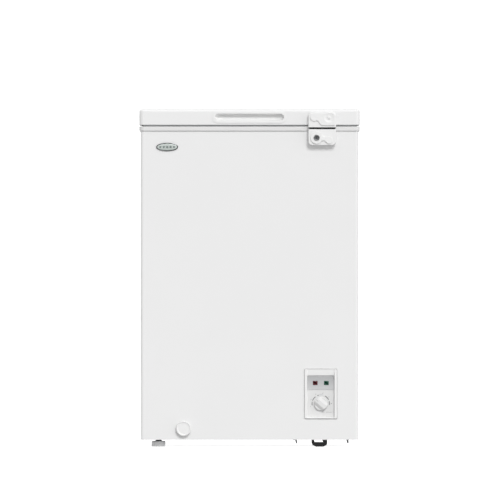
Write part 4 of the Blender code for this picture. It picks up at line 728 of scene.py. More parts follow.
def make_lock():
    edge = 0.0021
    spare = 0.004
    outline = rounded(LOCK_WIDE, HOUSING_TALL + spare, (0.0024, 0.0024, 0.0100, 0.0100), LOCK_MID.x,
                      LOCK_MID.z + spare / 2, 10)
    base = slab(outline, GAP, LOCK_PLAIN, edge, facing(FRONT), steps=6)
    lobes = two_lobes((-0.0144, -0.0018), 0.0150, (0.0172, -0.0078), 0.0088, 0.0120, 0.0075)
    raised = relief(lobes, LOCK_MID.x, LOCK_MID.z, LOCK_PLAIN - 0.001, LOCK_OUT, 0.0004)
    notch = FRONT - 0.0038
    bolt_low, bolt_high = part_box("lock_bolt")
    top = HOUSING[1].z
    half = (bolt_high.x - bolt_low.x) / 2 + 0.0010
    x = LOCK_MID.x
    rim = turned([(0.0088, -0.0012), (0.0088, -0.0001), (0.0080, 0.0004), (0.0070, 0.0004), (0.0067, 0.0),
                  (0.0067, -0.0012)],
                 (CYLINDER.x, HOUSING[0].y + 0.0004, CYLINDER.z), "F", loop=True)
    base = combined(base, [raised], "UNION")
    base = combined(base, [
        box(x - 0.05, x + 0.05, FRONT - 0.03, FRONT + 0.01, top - 0.0009, 0.85),
        box(x - 0.05, x + 0.05, notch, FRONT + 0.01, COLLAR[0].z - GAP, 0.85),
        box(x - half, x + half, bolt_low.y - 0.0012, notch + 0.001, top - 0.021, 0.85),
        stepped(ring_of(0.0073, CYLINDER.x, CYLINDER.z), [(0, 0.03), (0, 0.0095)], facing(FRONT)),
    ])
    piece("lock_case", base, "cabinet", "white_plastic", replaces=["lock_housing"], sharp=40)
    piece("lock_rim", rim, "cabinet", "white_plastic")

    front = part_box("lock_cylinder")[0].y
    barrel = turned([(0.0065, -0.0100), (0.0065, -0.0010), (0.0061, -0.0005), (0.0056, -0.0004),
                     (0.0046, -0.0008),
                     (0.0030, -0.0010)], (CYLINDER.x, front, CYLINDER.z), "F", 40)
    key = [(-0.00055, -0.0036), (0.00055, -0.0036), (0.00055, -0.0012), (0.0011, -0.0010), (0.0011, 0.0012),
           (0.00055, 0.0014), (0.00055, 0.0036), (-0.00055, 0.0036)]
    slot = loft([[(CYLINDER.x + u, front - h, CYLINDER.z + v) for u, v in key] for h in (0.002, -0.006)])
    piece("lock_barrel", combined(barrel, [slot]), "lock_cylinder", "zinc", "steel_dark", ["lock_cylinder"],
          sharp=35)

    bolt = slab(rounded(bolt_high.x - bolt_low.x, bolt_high.z - bolt_low.z, 0.0015, x,
                        (bolt_low.z + bolt_high.z) / 2, 4),
                -bolt_high.y, -bolt_low.y, 0.0006, facing(0.0), 0.0004, 3)
    piece("lock_tongue", bolt, "lock_bolt", "black_plastic", replaces=["lock_bolt"])


def make_keeper():
    x = LOCK_MID.x
    back = -LID[0].y + FRONT + GAP
    spare = 0.004
    outline = rounded(LOCK_WIDE, KEEPER_TALL + spare, (0.0085, 0.0085, 0.0024, 0.0024), x,
                      KEEPER_MID - spare / 2, 10)
    base = slab(outline, back, LOCK_PLAIN, 0.0021, facing(FRONT), steps=6)
    wave = [(-0.0177, -0.0027), (-0.0148, -0.0012), (-0.0118, -0.0018), (-0.0088, -0.0048),
            (-0.0060, -0.0092)]
    wave += [(-0.0032, -0.0124), (0.0010, -0.0136), (0.0060, -0.0138)]
    shape = arc(0.0255, 0.0100, 0.0070, 0, 90, 8) + arc(-0.0203, 0.0070, 0.0100, 90, 285, 22)
    shape += [(p.x, p.y) for p in curve_through([(u, v, 0) for u, v in wave], 4)[1:]]
    shape += arc(0.0295, -0.0108, 0.0030, -90, 0, 5)
    raised = relief(shape, x, KEEPER_MID, LOCK_PLAIN - 0.001, LOCK_OUT, 0.0004)
    boss_at = (x + 0.0171, KEEPER[0].y, 0.8280)
    dish = turned([(0.0050, -0.0020), (0.0096, -0.0012), (0.0122, -0.0005), (0.0134, 0.0003),
                   (0.0140, 0.0012)],
                  boss_at, "F", 64)
    boss = turned([(0.0042, -0.0040), (0.0041, -0.0008), (0.0036, -0.0002), (0.0028, 0.0), (0.0012, 0.0)],
                  boss_at, "F", 40)
    bolt_low, bolt_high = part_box("lock_bolt")
    half = (bolt_high.x - bolt_low.x) / 2 + 0.0015
    slot = box(x - half, x + half, bolt_low.y - 0.0016, FRONT, KEEPER[0].z - 0.01, KEEPER[0].z + 0.0105)
    foot = box(x - 0.05, x + 0.05, FRONT - 0.03, FRONT + 0.01, KEEPER[0].z - 0.02, KEEPER[0].z)
    base = combined(base, [raised], "UNION")
    base = combined(base, [dish, slot, foot])
    base = combined(base, [boss], "UNION")
    piece("lock_catch", base, "lid", "white_plastic", replaces=["lock_keeper"], sharp=40)


# ------------------------------------------------------------------ badge
def make_badge():
    low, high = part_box("badge")
    mid = (low + high) / 2
    wide, tall, thick = high.x - low.x, high.z - low.z, FRONT - low.y
    def level(by, height):
        return [(u, FRONT - height, v) for u, v in oval(wide - 2 * by, tall - 2 * by, mid.x, mid.z, 72)]

    rim = [level(0.0030, 0.0006), level(0.0030, GAP), level(0.0, GAP), level(0.0, 0.0008)]
    rim += [level(by, thick - down) for by, down in quarter(0.0010, 5)]
    rim += [level(0.0015, thick - 0.0004), level(0.0020, thick - 0.0012), level(0.0021, 0.0015),
            level(0.0025, 0.0006)]
    piece("badge_rim", loft(rim, loop=True), "cabinet", "chrome", replaces=["badge"], sharp=50)
    plate = [(0.0022, 0.0008), (0.0022, 0.0012), (0.0027, 0.0014), (0.0045, 0.0017), (0.0070, 0.0019),
             (0.0090, 0.00195)]
    piece("badge_plate", loft([level(*step) for step in plate]), "cabinet", "chrome", "badge_plate", sharp=50)
    flakes = []
    for i, size in enumerate((0.0026, 0.0030, 0.0032, 0.0030, 0.0026)):
        centre = (mid.x + (i - 2) * 0.0086, mid.z)
        for arm in range(3):
            a = math.radians(90 + 60 * arm)
            ux, uz = math.cos(a), math.sin(a)
            bars = [(0.0, size, 0.0, 0.00036)]
            bars += [(end * size * 0.62, size * 0.26, end * turn, 0.00028)
                     for end in (-1, 1) for turn in (45, -45)]
            for k, (along, reach, lean, half_wide) in enumerate(bars):
                c, d = math.cos(a + math.radians(lean)), math.sin(a + math.radians(lean))
                at = (centre[0] + along * ux, centre[1] + along * uz)
                bar = [(reach, half_wide), (-reach, half_wide), (-reach, -half_wide), (reach, -half_wide)]
                shape = [(at[0] + s * c - t * d, at[1] + s * d + t * c) for s, t in bar]
                top = 0.00215 + 0.00003 * arm + 0.00001 * k
                flakes.append(rising([(shape, 0.0016), (shape, top)], FRONT))
    piece("badge_snowflakes", together(*flakes), "cabinet", "chrome", "badge_print")


# ------------------------------------------------------------------ thermostat panel
DIAL = middle("thermostat_spindle")
PANEL_FLOOR = FRONT + 0.0065


def printed(outline):
    """A raised print on the floor of the panel."""
    return rising([(outline, -0.0004), (outline, 0.00012)], PANEL_FLOOR)


def make_bezel():
    width, height = BEZEL[1].x - BEZEL[0].x, BEZEL[1].z - BEZEL[0].z
    mid = (BEZEL[0] + BEZEL[1]) / 2
    proud = FRONT - BEZEL[0].y
    outer = rounded(width, height, 0.0045, mid.x, mid.z, 8)
    border, z0, z1 = 0.0078, BEZEL[0].z + 0.0040, BEZEL[1].z - 0.0032

    def window(by, low, high, corner):
        return rounded(width - 2 * border + 2 * by, high - low, corner, mid.x, (low + high) / 2, 8)

    rows = [(grown(outer, -0.0022), -0.0081), (grown(outer, -0.0022), GAP), (outer, GAP), (outer, 0.0012)]
    rows += [(grown(outer, -0.0002), 0.0014), (grown(outer, -0.0004), 0.0014),
             (grown(outer, -0.0005), 0.0001)]
    rows += [(grown(outer, -0.0017), 0.0001), (grown(outer, -0.0018), proud - 0.0006)]
    rows += [(grown(outer, -0.0018 - by), proud - down) for by, down in quarter(0.0006, 4)[1:]]
    rows += [(window(0.0008, z0 - 0.0008, z1 + 0.0008, 0.0030), proud)]
    rows += [(window(0.0002, z0 - 0.0002, z1 + 0.0002, 0.0025), proud - 0.0002)]
    rows += [(window(0.0, z0, z1, 0.0023), proud - 0.0008),
             (window(-0.0001, z0 + 0.0001, BEZEL[1].z - 0.0170, 0.0020), -0.0034)]
    rows += [(window(-0.0002, z0 + 0.0002, BEZEL[1].z - 0.0176, 0.0019), -0.0040)]
    rows += [(window(-0.0002, z0 + 0.0006, BEZEL[1].z - 0.0186, 0.0015), -0.0062)]
    rows += [(window(-0.0005, z0 + 0.0009, BEZEL[1].z - 0.0192, 0.0012), -0.0065)]
    shell = rising(rows, FRONT)
    tools = []
    for node in ("red_lens", "green_lens"):
        low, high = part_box(node)
        tools.append(box(low.x - GAP, high.x + GAP, FRONT, FRONT + 0.02, low.z - GAP, high.z + GAP))
    tools.append(stepped(ring_of(0.0052, DIAL.x, DIAL.z), [(0, -0.002), (0, -0.012)], facing(FRONT)))
    # The frame's finish paints its recess slope and walls lighter and its recess floor darker: painted light
    # and shade
    piece("panel_frame", combined(shell, tools), "cabinet", "white_plastic", "panel_plastic",
          replaces=["control_bezel"], sharp=38)

    # A thin grey ring round the frame, put where there is only a shadow gap: painted shadow
    shadow_ring = [[(u, FRONT - h, v) for u, v in grown(outer, -by)]
            for by, h in ((0.0006, 0.0), (0.0006, 0.0009), (0.0017, 0.0009), (0.0017, 0.0))]
    piece("panel_seal", loft(shadow_ring, loop=True), "cabinet", "gasket", "seal_grey")

    low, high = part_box("indicator_strip")
    shape = seen("indicator_strip", 0.0008, 3)
    strip = slab(shape, FRONT - high.y, FRONT - low.y, 0.0002, facing(FRONT), steps=2)
    tools = []
    for node in ("red_lens", "green_lens"):
        a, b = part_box(node)
        tools.append(box(a.x - GAP, b.x + GAP, FRONT - 0.01, FRONT + 0.02, a.z - GAP, b.z + GAP))
    piece("lamp_band", combined(strip, tools), "cabinet", "panel_grey", replaces=["indicator_strip"],
          sharp=30)
    for node, name, slot in (("red_lens", "lamp_red", "red_lamp"),
                             ("green_lens", "lamp_green", "green_lamp")):
        a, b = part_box(node)
        shape = seen(node, 0.0012, 5)
        front = FRONT - a.y
        levels = [(0.0, FRONT - b.y), (0.0, front - 0.0009)]
        levels += [(-by, front - 0.0003 - down) for by, down in quarter(0.0006, 4)[1:]]
        levels += [(-0.0018, front - 0.0001), (-0.0034, front)]
        piece(name, stepped(shape, levels, facing(FRONT)), "cabinet", slot, replaces=[node], sharp=50)


def make_dial():
    low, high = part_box("thermostat_knob")
    base = FRONT + 0.0065 - high.y
    radius = (high.x - low.x) / 2
    tall = 0.0112
    centre = (DIAL.x, PANEL_FLOOR, DIAL.z)
    ribs = 40

    def knurl(inset, h, depth):
        steps = 4 * ribs
        ring_points = []
        for i in range(steps):
            a = 2 * math.pi * i / steps
            r = radius - inset - depth * (0.5 - 0.5 * math.cos(a * ribs))
            ring_points.append((centre[0] + r * math.cos(a), centre[1] - h, centre[2] + r * math.sin(a)))
        return ring_points

    rings = [knurl(0.0010, base, 0.0), knurl(0.0002, base + 0.0004, 0.0003),
             knurl(0.0, base + 0.0010, 0.0004)]
    rings += [knurl(0.0001, 0.0038, 0.0004), knurl(0.0006, 0.0046, 0.0003), knurl(0.0016, 0.0050, 0.0)]
    rings += [knurl(0.0040, 0.0051, 0.0)]
    skirt = loft(rings)
    tilt = -41.0
    reach = radius - 0.0011
    rows = [(0.0124, reach, 0.0042), (0.0118, reach, 0.0052), (0.0098, reach, 0.0072),
            (0.0072, reach, 0.0094)]
    rows += [(0.0056, reach - 0.0001, tall - 0.0006), (0.0052, reach - 0.0004, tall - 0.0002),
             (0.0047, reach - 0.0009, tall)]
    fin = []
    for half, r, h in rows:
        a = math.degrees(math.asin(half / r))
        shape = arc(0, 0, r, tilt - a, tilt + a, 8) + arc(0, 0, r, tilt + 180 - a, tilt + 180 + a, 8)
        fin.append([(centre[0] + u, centre[1] - h, centre[2] + v) for u, v in shape])
    socket = stepped(ring_of(0.0033, DIAL.x, DIAL.z), [(0, -0.001), (0, 0.0105)], facing(PANEL_FLOOR))
    knob = combined(combined(skirt, [loft(fin)], "UNION"), [socket])
    piece("dial_knob", knob, "thermostat_dial", "white_plastic", "dial_plastic", replaces=["thermostat_knob"],
          sharp=30)
    along = Vector((math.cos(math.radians(tilt)), 0, math.sin(math.radians(tilt))))
    across = Vector((-along.z, 0, along.x))
    mark = []
    for h in (tall - 0.0006, tall + 0.00005):
        corners = [(-0.0150, 0.0004), (-0.0150, -0.0004), (-0.0085, -0.0004), (-0.0085, 0.0004)]
        mark.append([Vector(centre) + along * s + across * t + Vector((0, -h, 0)) for s, t in corners])
    piece("dial_pointer", loft(mark), "thermostat_dial", "white_plastic", "print_grey")

    marks = []
    for start, end in ((-9, 15), (27, 62), (104, 113), (128, 160), (168, 191)):
        steps = max(3, round((end - start) / 4))
        outline = arc(DIAL.x, DIAL.z, 0.0228, start, end, steps)
        outline += arc(DIAL.x, DIAL.z, 0.0211, end, start, steps)
        marks.append(printed(outline))
    rule = rounded(0.0150, 0.0005, 0.0002, DIAL.x + 0.0205, DIAL.z - 0.0216, 2)
    marks.append(printed(rule))
    piece("dial_scale", together(*marks), "cabinet", "white_plastic", "print_grey")
    tab = rounded(0.0090, 0.0040, 0.0007, DIAL.x + 0.0003, DIAL.z + 0.0226, 3)
    piece("dial_stop", printed(tab),
          "cabinet", "white_plastic", "panel_grey")
    digits = []
    for text, angle in (("1", 196), ("2", 157), ("3", 118), ("4", 79), ("5", 40), ("6", 1)):
        a = math.radians(angle)
        curve = bpy.data.curves.new("digit", "FONT")
        curve.body = text
        curve.size = 0.0044
        curve.extrude = 0.00012
        curve.align_x, curve.align_y = "CENTER", "CENTER"
        digit = bpy.data.objects.new("digit", curve)
        bpy.context.scene.collection.objects.link(digit)
        digit.location = (DIAL.x + 0.0268 * math.cos(a), PANEL_FLOOR - 0.00002, DIAL.z + 0.0268 * math.sin(a))
        digit.rotation_euler = (math.pi / 2, 0, 0)
        bpy.context.view_layer.update()
        mesh = bpy.data.meshes.new_from_object(digit.evaluated_get(bpy.context.evaluated_depsgraph_get()))
        mesh.transform(digit.matrix_world)
        shape = bmesh.new()
        shape.from_mesh(mesh)
        digits.append(shape)
        bpy.data.objects.remove(digit)
        bpy.data.curves.remove(curve)
        bpy.data.meshes.remove(mesh)
    piece("dial_digits", together(*digits), "cabinet", "white_plastic", "print_grey")


# ------------------------------------------------------------------ drain and feet
def make_drain():
    low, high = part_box("drain_plug")
    x, z = (low.x + high.x) / 2, (low.z + high.z) / 2
    radius = (high.x - low.x) / 2
    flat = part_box("drain_plug")[0].y
    out = FRONT - flat
    profile = [(0.0045, -0.0150), (0.0053, -0.0142), (0.0056, 0.0), (radius - 0.0006, 0.0), (radius, 0.0006)]
    profile += [(radius, out - 0.0022)] + [(radius - by, out - down) for by, down in quarter(0.0020, 6)[1:]]
    profile += [(radius - 0.0028, out - 0.0001), (radius - 0.0036, out - 0.0008),
                (radius - 0.0042, out - 0.0013)]
    profile += [(radius - 0.0060, out - 0.0016), (0.0070, out - 0.0013), (0.0030, out - 0.0012)]
    piece("drain_cap", turned(profile, (x, FRONT, z), "F", 72), "drain_plug", "white_plastic",
          replaces=["drain_plug"], sharp=50)

    low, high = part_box("drain_stopper")
    centre = ((low.x + high.x) / 2, (low.y + high.y) / 2, WELL_Z)
    profile = [(0.0042, -0.012), (0.0054, -0.0108), (0.0054, -0.007), (0.0057, -0.0064), (0.0054, -0.0058)]
    profile += [(0.0054, 0.0003), (0.0126, 0.0003), (0.0130, 0.0008), (0.0130, 0.0022), (0.0126, 0.0029)]
    profile += [(0.0112, 0.0038), (0.0090, 0.0041), (0.0055, 0.0041), (0.0046, 0.0046), (0.0034, 0.0062)]
    profile += [(0.0036, 0.0084), (0.0042, 0.0094), (0.0036, 0.0099), (0.0015, 0.0100)]
    piece("drain_bung", turned(profile, centre, "Z", 48), "drain_stopper", "grey_plastic",
          replaces=["drain_stopper"], sharp=50)


def make_feet():
    for place in ("front", "rear"):
        low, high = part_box(f"foot_{place}_left")
        x, y = (low.x + high.x) / 2, (low.y + high.y) / 2
        lower = 0.0 if place == "front" else 0.0034  # from straight ahead the rear feet stay hidden
        radius, tall, ribs = (high.x - low.x) / 2, 0.0148 - lower, 20

        def fluted(inset, z, depth):
            steps = 6 * ribs
            points = []
            for i in range(steps):
                a = 2 * math.pi * i / steps
                r = radius - inset - depth * max(0.0, math.cos(a * ribs)) ** 0.6
                points.append((x + r * math.cos(a), y + r * math.sin(a), z))
            return points

        rings = [fluted(0.0022, 0.0, 0.0), fluted(0.0008, 0.0005, 0.0002), fluted(0.0001, 0.0018, 0.0009)]
        rings += [fluted(0.0, 0.0070, 0.0010), fluted(0.0001, tall - 0.0020, 0.0009),
                  fluted(0.0007, tall - 0.0008, 0.0004)]
        rings += [fluted(0.0020, tall - 0.0002, 0.0), fluted(0.0065, tall, 0.0)]
        body = f"foot_{place}_left"
        # The pad's lighter finish is painted light from below on grey plastic
        piece(f"foot_pad_{place}", loft(rings), body, "grey_plastic", "foot_plastic", [body], sharp=34)
        stud = [(0.0086, tall - 0.0006), (0.0076, tall + 0.0007), (0.0050, tall + 0.0022),
                (0.0044, tall + 0.0027)]
        z = tall + 0.0030
        while z < high.z - 0.0012:
            stud += [(0.0040, z), (0.0035, z + 0.0005)]
            z += 0.0010
        stud += [(0.0034, high.z - 0.0004), (0.0026, high.z)]
        piece(f"foot_stud_{place}", turned(stud, (x, y, 0.0), "Z", 24), body, "grey_plastic", "steel_dark",
              sharp=60)

        low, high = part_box(f"foot_{place}_right")
        x, y = (low.x + high.x) / 2, (low.y + high.y) / 2
        half, top = (high.x - low.x) / 2, high.z
        outline = [(-half, top), (-half, 0.0060), (-half * 0.80, 0.0034), (-half * 0.48, 0.0)]
        outline += [(half * 0.48, 0.0), (half * 0.80, 0.0034), (half, 0.0060), (half, top)]
        window = [(-half * 0.74, top + 0.001), (-half * 0.63, 0.0122 - lower), (-half * 0.55, 0.0117 - lower)]
        window += [(half * 0.52, 0.0117 - lower), (half * 0.56, 0.0123 - lower), (half * 0.26, top + 0.001)]
        sole = loft([[(x + u, y + v, z) for u, z in outline] for v in (-0.017, 0.017)])
        hole = loft([[(x + u, y + v, z - (fall if z < 0.014 else 0)) for u, z in window] for v,
                     fall in ((-0.017001, 0), (0.03, 0.0060))])
        grooves = [box(x - 0.02, x + 0.02, y + v - 0.0008, y + v + 0.0008, -0.001, 0.0009)
                   for v in (-0.010, -0.005, 0.0, 0.005, 0.010)]
        stirrup = combined(sole, [hole] + grooves)
        body = frame["nodes"][f"foot_{place}_right"]["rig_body"]
        piece(f"foot_block_{place}", stirrup, body, "black_plastic", replaces=[f"foot_{place}_right"],
              sharp=20, bevel=0.0005, segments=2)


# ------------------------------------------------------------------ base
def base_plate(name, node, x0, x1, thick, hem):
    """Plate under the cabinet whose right edge bends down into a hemmed lip."""
    low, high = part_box(node)
    z = high.z - thick if node == "bottom_plate" else 0.0187
    drop = low.z
    bend = 0.0050
    outer = [(x1, drop + hem / 2)] + arc(x1 - bend, z + thick - bend, bend, 0, 90, 8)
    inner = arc(x1 - bend, z + thick - bend, bend - hem, 90, 0, 8) + [(x1 - hem, drop + hem / 2)]
    tip = arc(x1 - hem / 2, drop + hem / 2, hem / 2, 180, 360, 6)[1:-1]
    lip = [(u, v) for u, v in outer + [(x1 - bend - 0.006, z + thick),
                                       (x1 - bend - 0.006, z + thick - hem * 0.6)] + inner + tip]
    flange = 0.015
    solid = loft([[(u, y, v) for u, v in lip] for y in (low.y + flange, high.y - flange)])
    plate = box(x0, x1 - bend, low.y, high.y, z, z + thick)
    swages = []
    for i in range(3):
        x = x0 + (x1 - x0) * (0.28 + 0.22 * i)
        if node == "bottom_plate":
            swages.append(slab(rounded(0.016, 0.30, 0.0079, x, Y_MID, 8), 0.0003 - z, 0.0009 - z, 0.0005,
                               lambda u, v, h: (u, v, -h)))
    made = combined(plate, [solid] + swages, "UNION")
    if node == "bottom_plate":
        made = combined(made, [loft([[(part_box("foot_front_left")[0].x + 0.017 + u, y + v, w)
                                      for u, v in ring_of(0.0048, steps=24)] for w in (0.0, 0.04)])
                               for y in (middle("foot_front_left").y, middle("foot_rear_left").y)])
    # The dark base sheet finish is painted shade over galvanised steel
    piece(name, made, "cabinet", "galvanised", "base_sheet", [node], sharp=40)


def make_base():
    low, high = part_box("bottom_plate")
    base_plate("base_panel", "bottom_plate", low.x, high.x, 0.0008, 0.0034)
    low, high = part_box("compressor_tray")
    base_plate("motor_tray", "compressor_tray", low.x, high.x, 0.0015, 0.0036)


# ------------------------------------------------------------------ storage space
def make_liner():
    """Formed liner with rounded floor corners, the step over the bay and an embossed face."""
    top_z = LINER[1].z
    wide, deep = MOUTH_SIZE
    wall_x = 0.0665  # left face of the step

    def spaces(by, drop):
        """Upper space and well, grown by an amount, with rounded lower edges."""
        corner = MOUTH_CORNER + by
        fillet = 0.012 + by
        upper = rounded(wide + 2 * by, deep + 2 * by, corner, 0.0, Y_MID, 8)
        left, right = -wide / 2 - by, wall_x + by
        well = rounded(right - left, deep + 2 * by, corner, (left + right) / 2, Y_MID, 8)
        solids = []
        for outline, base, top in ((upper, STEP_Z - by, top_z + drop), (well, WELL_Z - by, STEP_Z + 0.03)):
            levels = [(-fillet + fillet * math.sin(a), base + fillet * (1 - math.cos(a)))
                      for a in (math.pi / 12 * i for i in range(7))]
            solids.append(stepped(outline, levels + [(0.0, (base + top) / 2), (0.0, top)]))
        return combined(solids[0], [solids[1]], "UNION")

    outside = spaces(SHEET, 0.0)
    shell = combined(outside, [spaces(0.0, 0.02)])
    stopper = middle("drain_stopper")
    shell = combined(shell, [bore(stopper.x, stopper.y, 0.0062, 0.07, 0.10)])
    piece("storage_liner", shell, "cabinet", "liner", replaces=["inner_liner"], sharp=36)


def make_basket():
    """Coated wire basket: rim, side bands, closely set wires both ways and four hooks on the ledge."""
    low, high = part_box("wire_basket")
    thin, rail = 0.0016, 0.0025
    x0, x1 = low.x + rail, high.x - rail
    rim_z = BASKET_RIM_Z
    y0, y1 = Y_MID - MOUTH_SIZE[1] / 2 + 0.006 + rail, Y_MID + MOUTH_SIZE[1] / 2 - 0.006 - rail
    mid_x = (x0 + x1) / 2
    base = low.z + thin + 0.0005
    solids = []

    def loop(z, radius, grow=0.0):
        outline = rounded(x1 - x0 + 2 * grow, y1 - y0 + 2 * grow, 0.018, mid_x, Y_MID)
        return tube([(u, v, z) for u, v in outline], radius, 8, closed=True)

    solids.append(loop(rim_z, rail))
    for share in (0.30, 0.62):
        solids.append(loop(rim_z - (rim_z - base) * share, thin, -0.0002))
    corner = 0.014
    turn = 6
    count = 17
    inset = 0.0016

    def bent(start, end, floor):
        """Wire from the rim down to the floor, across it and up to the rim again."""
        section = [(start + inset, rim_z)]
        section += arc(start + inset + corner, floor + corner, corner, 180, 270, turn)
        section += arc(end - inset - corner, floor + corner, corner, 270, 360, turn)
        return section + [(end - inset, rim_z)]

    for i in range(count):
        y = y0 + 0.022 + (y1 - y0 - 0.044) * i / (count - 1)
        solids.append(tube([(u, y, z) for u, z in bent(x0, x1, base)], thin, 6))
    rows = 7
    for i in range(rows):
        x = x0 + 0.024 + (x1 - x0 - 0.048) * i / (rows - 1)
        solids.append(tube([(x, v, z) for v, z in bent(y0, y1, base + 2 * thin * 0.9)], thin, 6))
    shelf = high.z - 0.0024
    for end, y in ((-1, y0), (1, y1)):
        for sign in (-1, 1):
            x = mid_x + sign * (x1 - x0) / 2 * 0.55
            reach = MOUTH_SIZE[1] / 2 + 0.013 - 0.0035
            path = [(x, y, rim_z - 0.020), (x, y, rim_z - 0.002), (x, y + end * 0.0002, rim_z + 0.006)]
            path += [(x, y + end * 0.0022, shelf - 0.0012), (x, y + end * 0.0060, shelf)]
            path += [(x, Y_MID + end * (reach - 0.004), shelf), (x, Y_MID + end * reach, shelf)]
            solids.append(tube([(p.x, p.y, min(p.z, shelf)) for p in curve_through(path, 4)], 0.0023, 8))
    piece("basket_wires", together(*solids), "basket", "basket_wire", replaces=["wire_basket"], sharp=60)


# ------------------------------------------------------------------ hinges
def screw(x, y, z, radius=0.0042, tall=0.0019):
    """Pan head with a cross recess, standing on y towards the back."""
    profile = [(radius * 0.96, 0.0), (radius, tall * 0.12), (radius * 0.93, tall * 0.55)]
    profile += [(radius * 0.70, tall * 0.88), (radius * 0.35, tall), (0.0001, tall)]
    cuts = [box(x - wide, x + wide, y + tall * 0.45, y + tall * 2, z - high, z + high)
            for wide, high in ((radius * 0.55, 0.0004), (0.0004, radius * 0.55))]
    return combined(turned(profile, (x, y, z), "B", 24), cuts)


def make_hinges():
    for side in ("left", "right"):
        for node, name, body in (("hinge_base", "hinge_bracket", "cabinet"),
                                 ("hinge_arm", "hinge_leaf", "lid")):
            made = cad_copy(f"{node}_{side}")
            piece(f"{name}_{side}", made, body, "zinc", replaces=[f"{node}_{side}"], sharp=45, bevel=0.00035,
                  segments=2)
        low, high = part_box(f"hinge_pin_{side}")
        mid = (low + high) / 2
        r, half = (high.z - low.z) / 2, (high.x - low.x) / 2
        profile = [(r * 0.75, -half), (r * 0.95, -half + 0.0004), (r, -half + 0.0010), (r, half - 0.0010)]
        profile += [(r * 0.95, half - 0.0004), (r * 0.75, half)]
        piece(f"hinge_rod_{side}", turned(profile, mid, "X", 24), "cabinet", "zinc",
              replaces=[f"hinge_pin_{side}"])
        low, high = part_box(f"hinge_spring_{side}")
        wire, turns = 0.0011, 9
        radius = r + 0.0008 + wire
        start, end = low.x + wire, high.x - wire
        coil = []
        for i in range(turns * 16 + 1):
            a = 2 * math.pi * i / 16 - math.pi / 2
            coil.append((start + (end - start) * i / (turns * 16), mid.y + radius * math.cos(a),
                         mid.z + radius * math.sin(a)))
        leg_y, foot_z = low.y + wire, low.z + wire
        bend = coil[0][2] - 0.016
        path = [(start, leg_y, foot_z), (start, leg_y, bend),
                (start, mid.y - 0.0060, coil[0][2] - 0.006)] + coil
        path += [(end, mid.y - 0.0060, coil[0][2] - 0.006), (end, leg_y, bend), (end, leg_y, foot_z)]
        piece(f"hinge_coil_{side}", tube(path, wire, 8), "cabinet", "zinc", "steel_dark",
              [f"hinge_spring_{side}"], sharp=60)
        base_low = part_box(f"hinge_base_{side}")[0]
        plate = base_low.y + 0.0015
        screws = [screw(mid.x + u, plate, base_low.z + v) for u in (-0.014, 0.014) for v in (0.010, 0.034)]
        piece(f"hinge_screws_{side}", together(*screws), "cabinet", "zinc", sharp=50)
        arm_low, arm_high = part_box(f"hinge_arm_{side}")
        screws = [screw(mid.x + u, arm_low.y + 0.0015, arm_high.z - 0.009, radius=0.0036, tall=0.0016)
                  for u in (-0.009, 0.009)]
        piece(f"hinge_leaf_screws_{side}", together(*screws), "lid", "zinc", sharp=50)


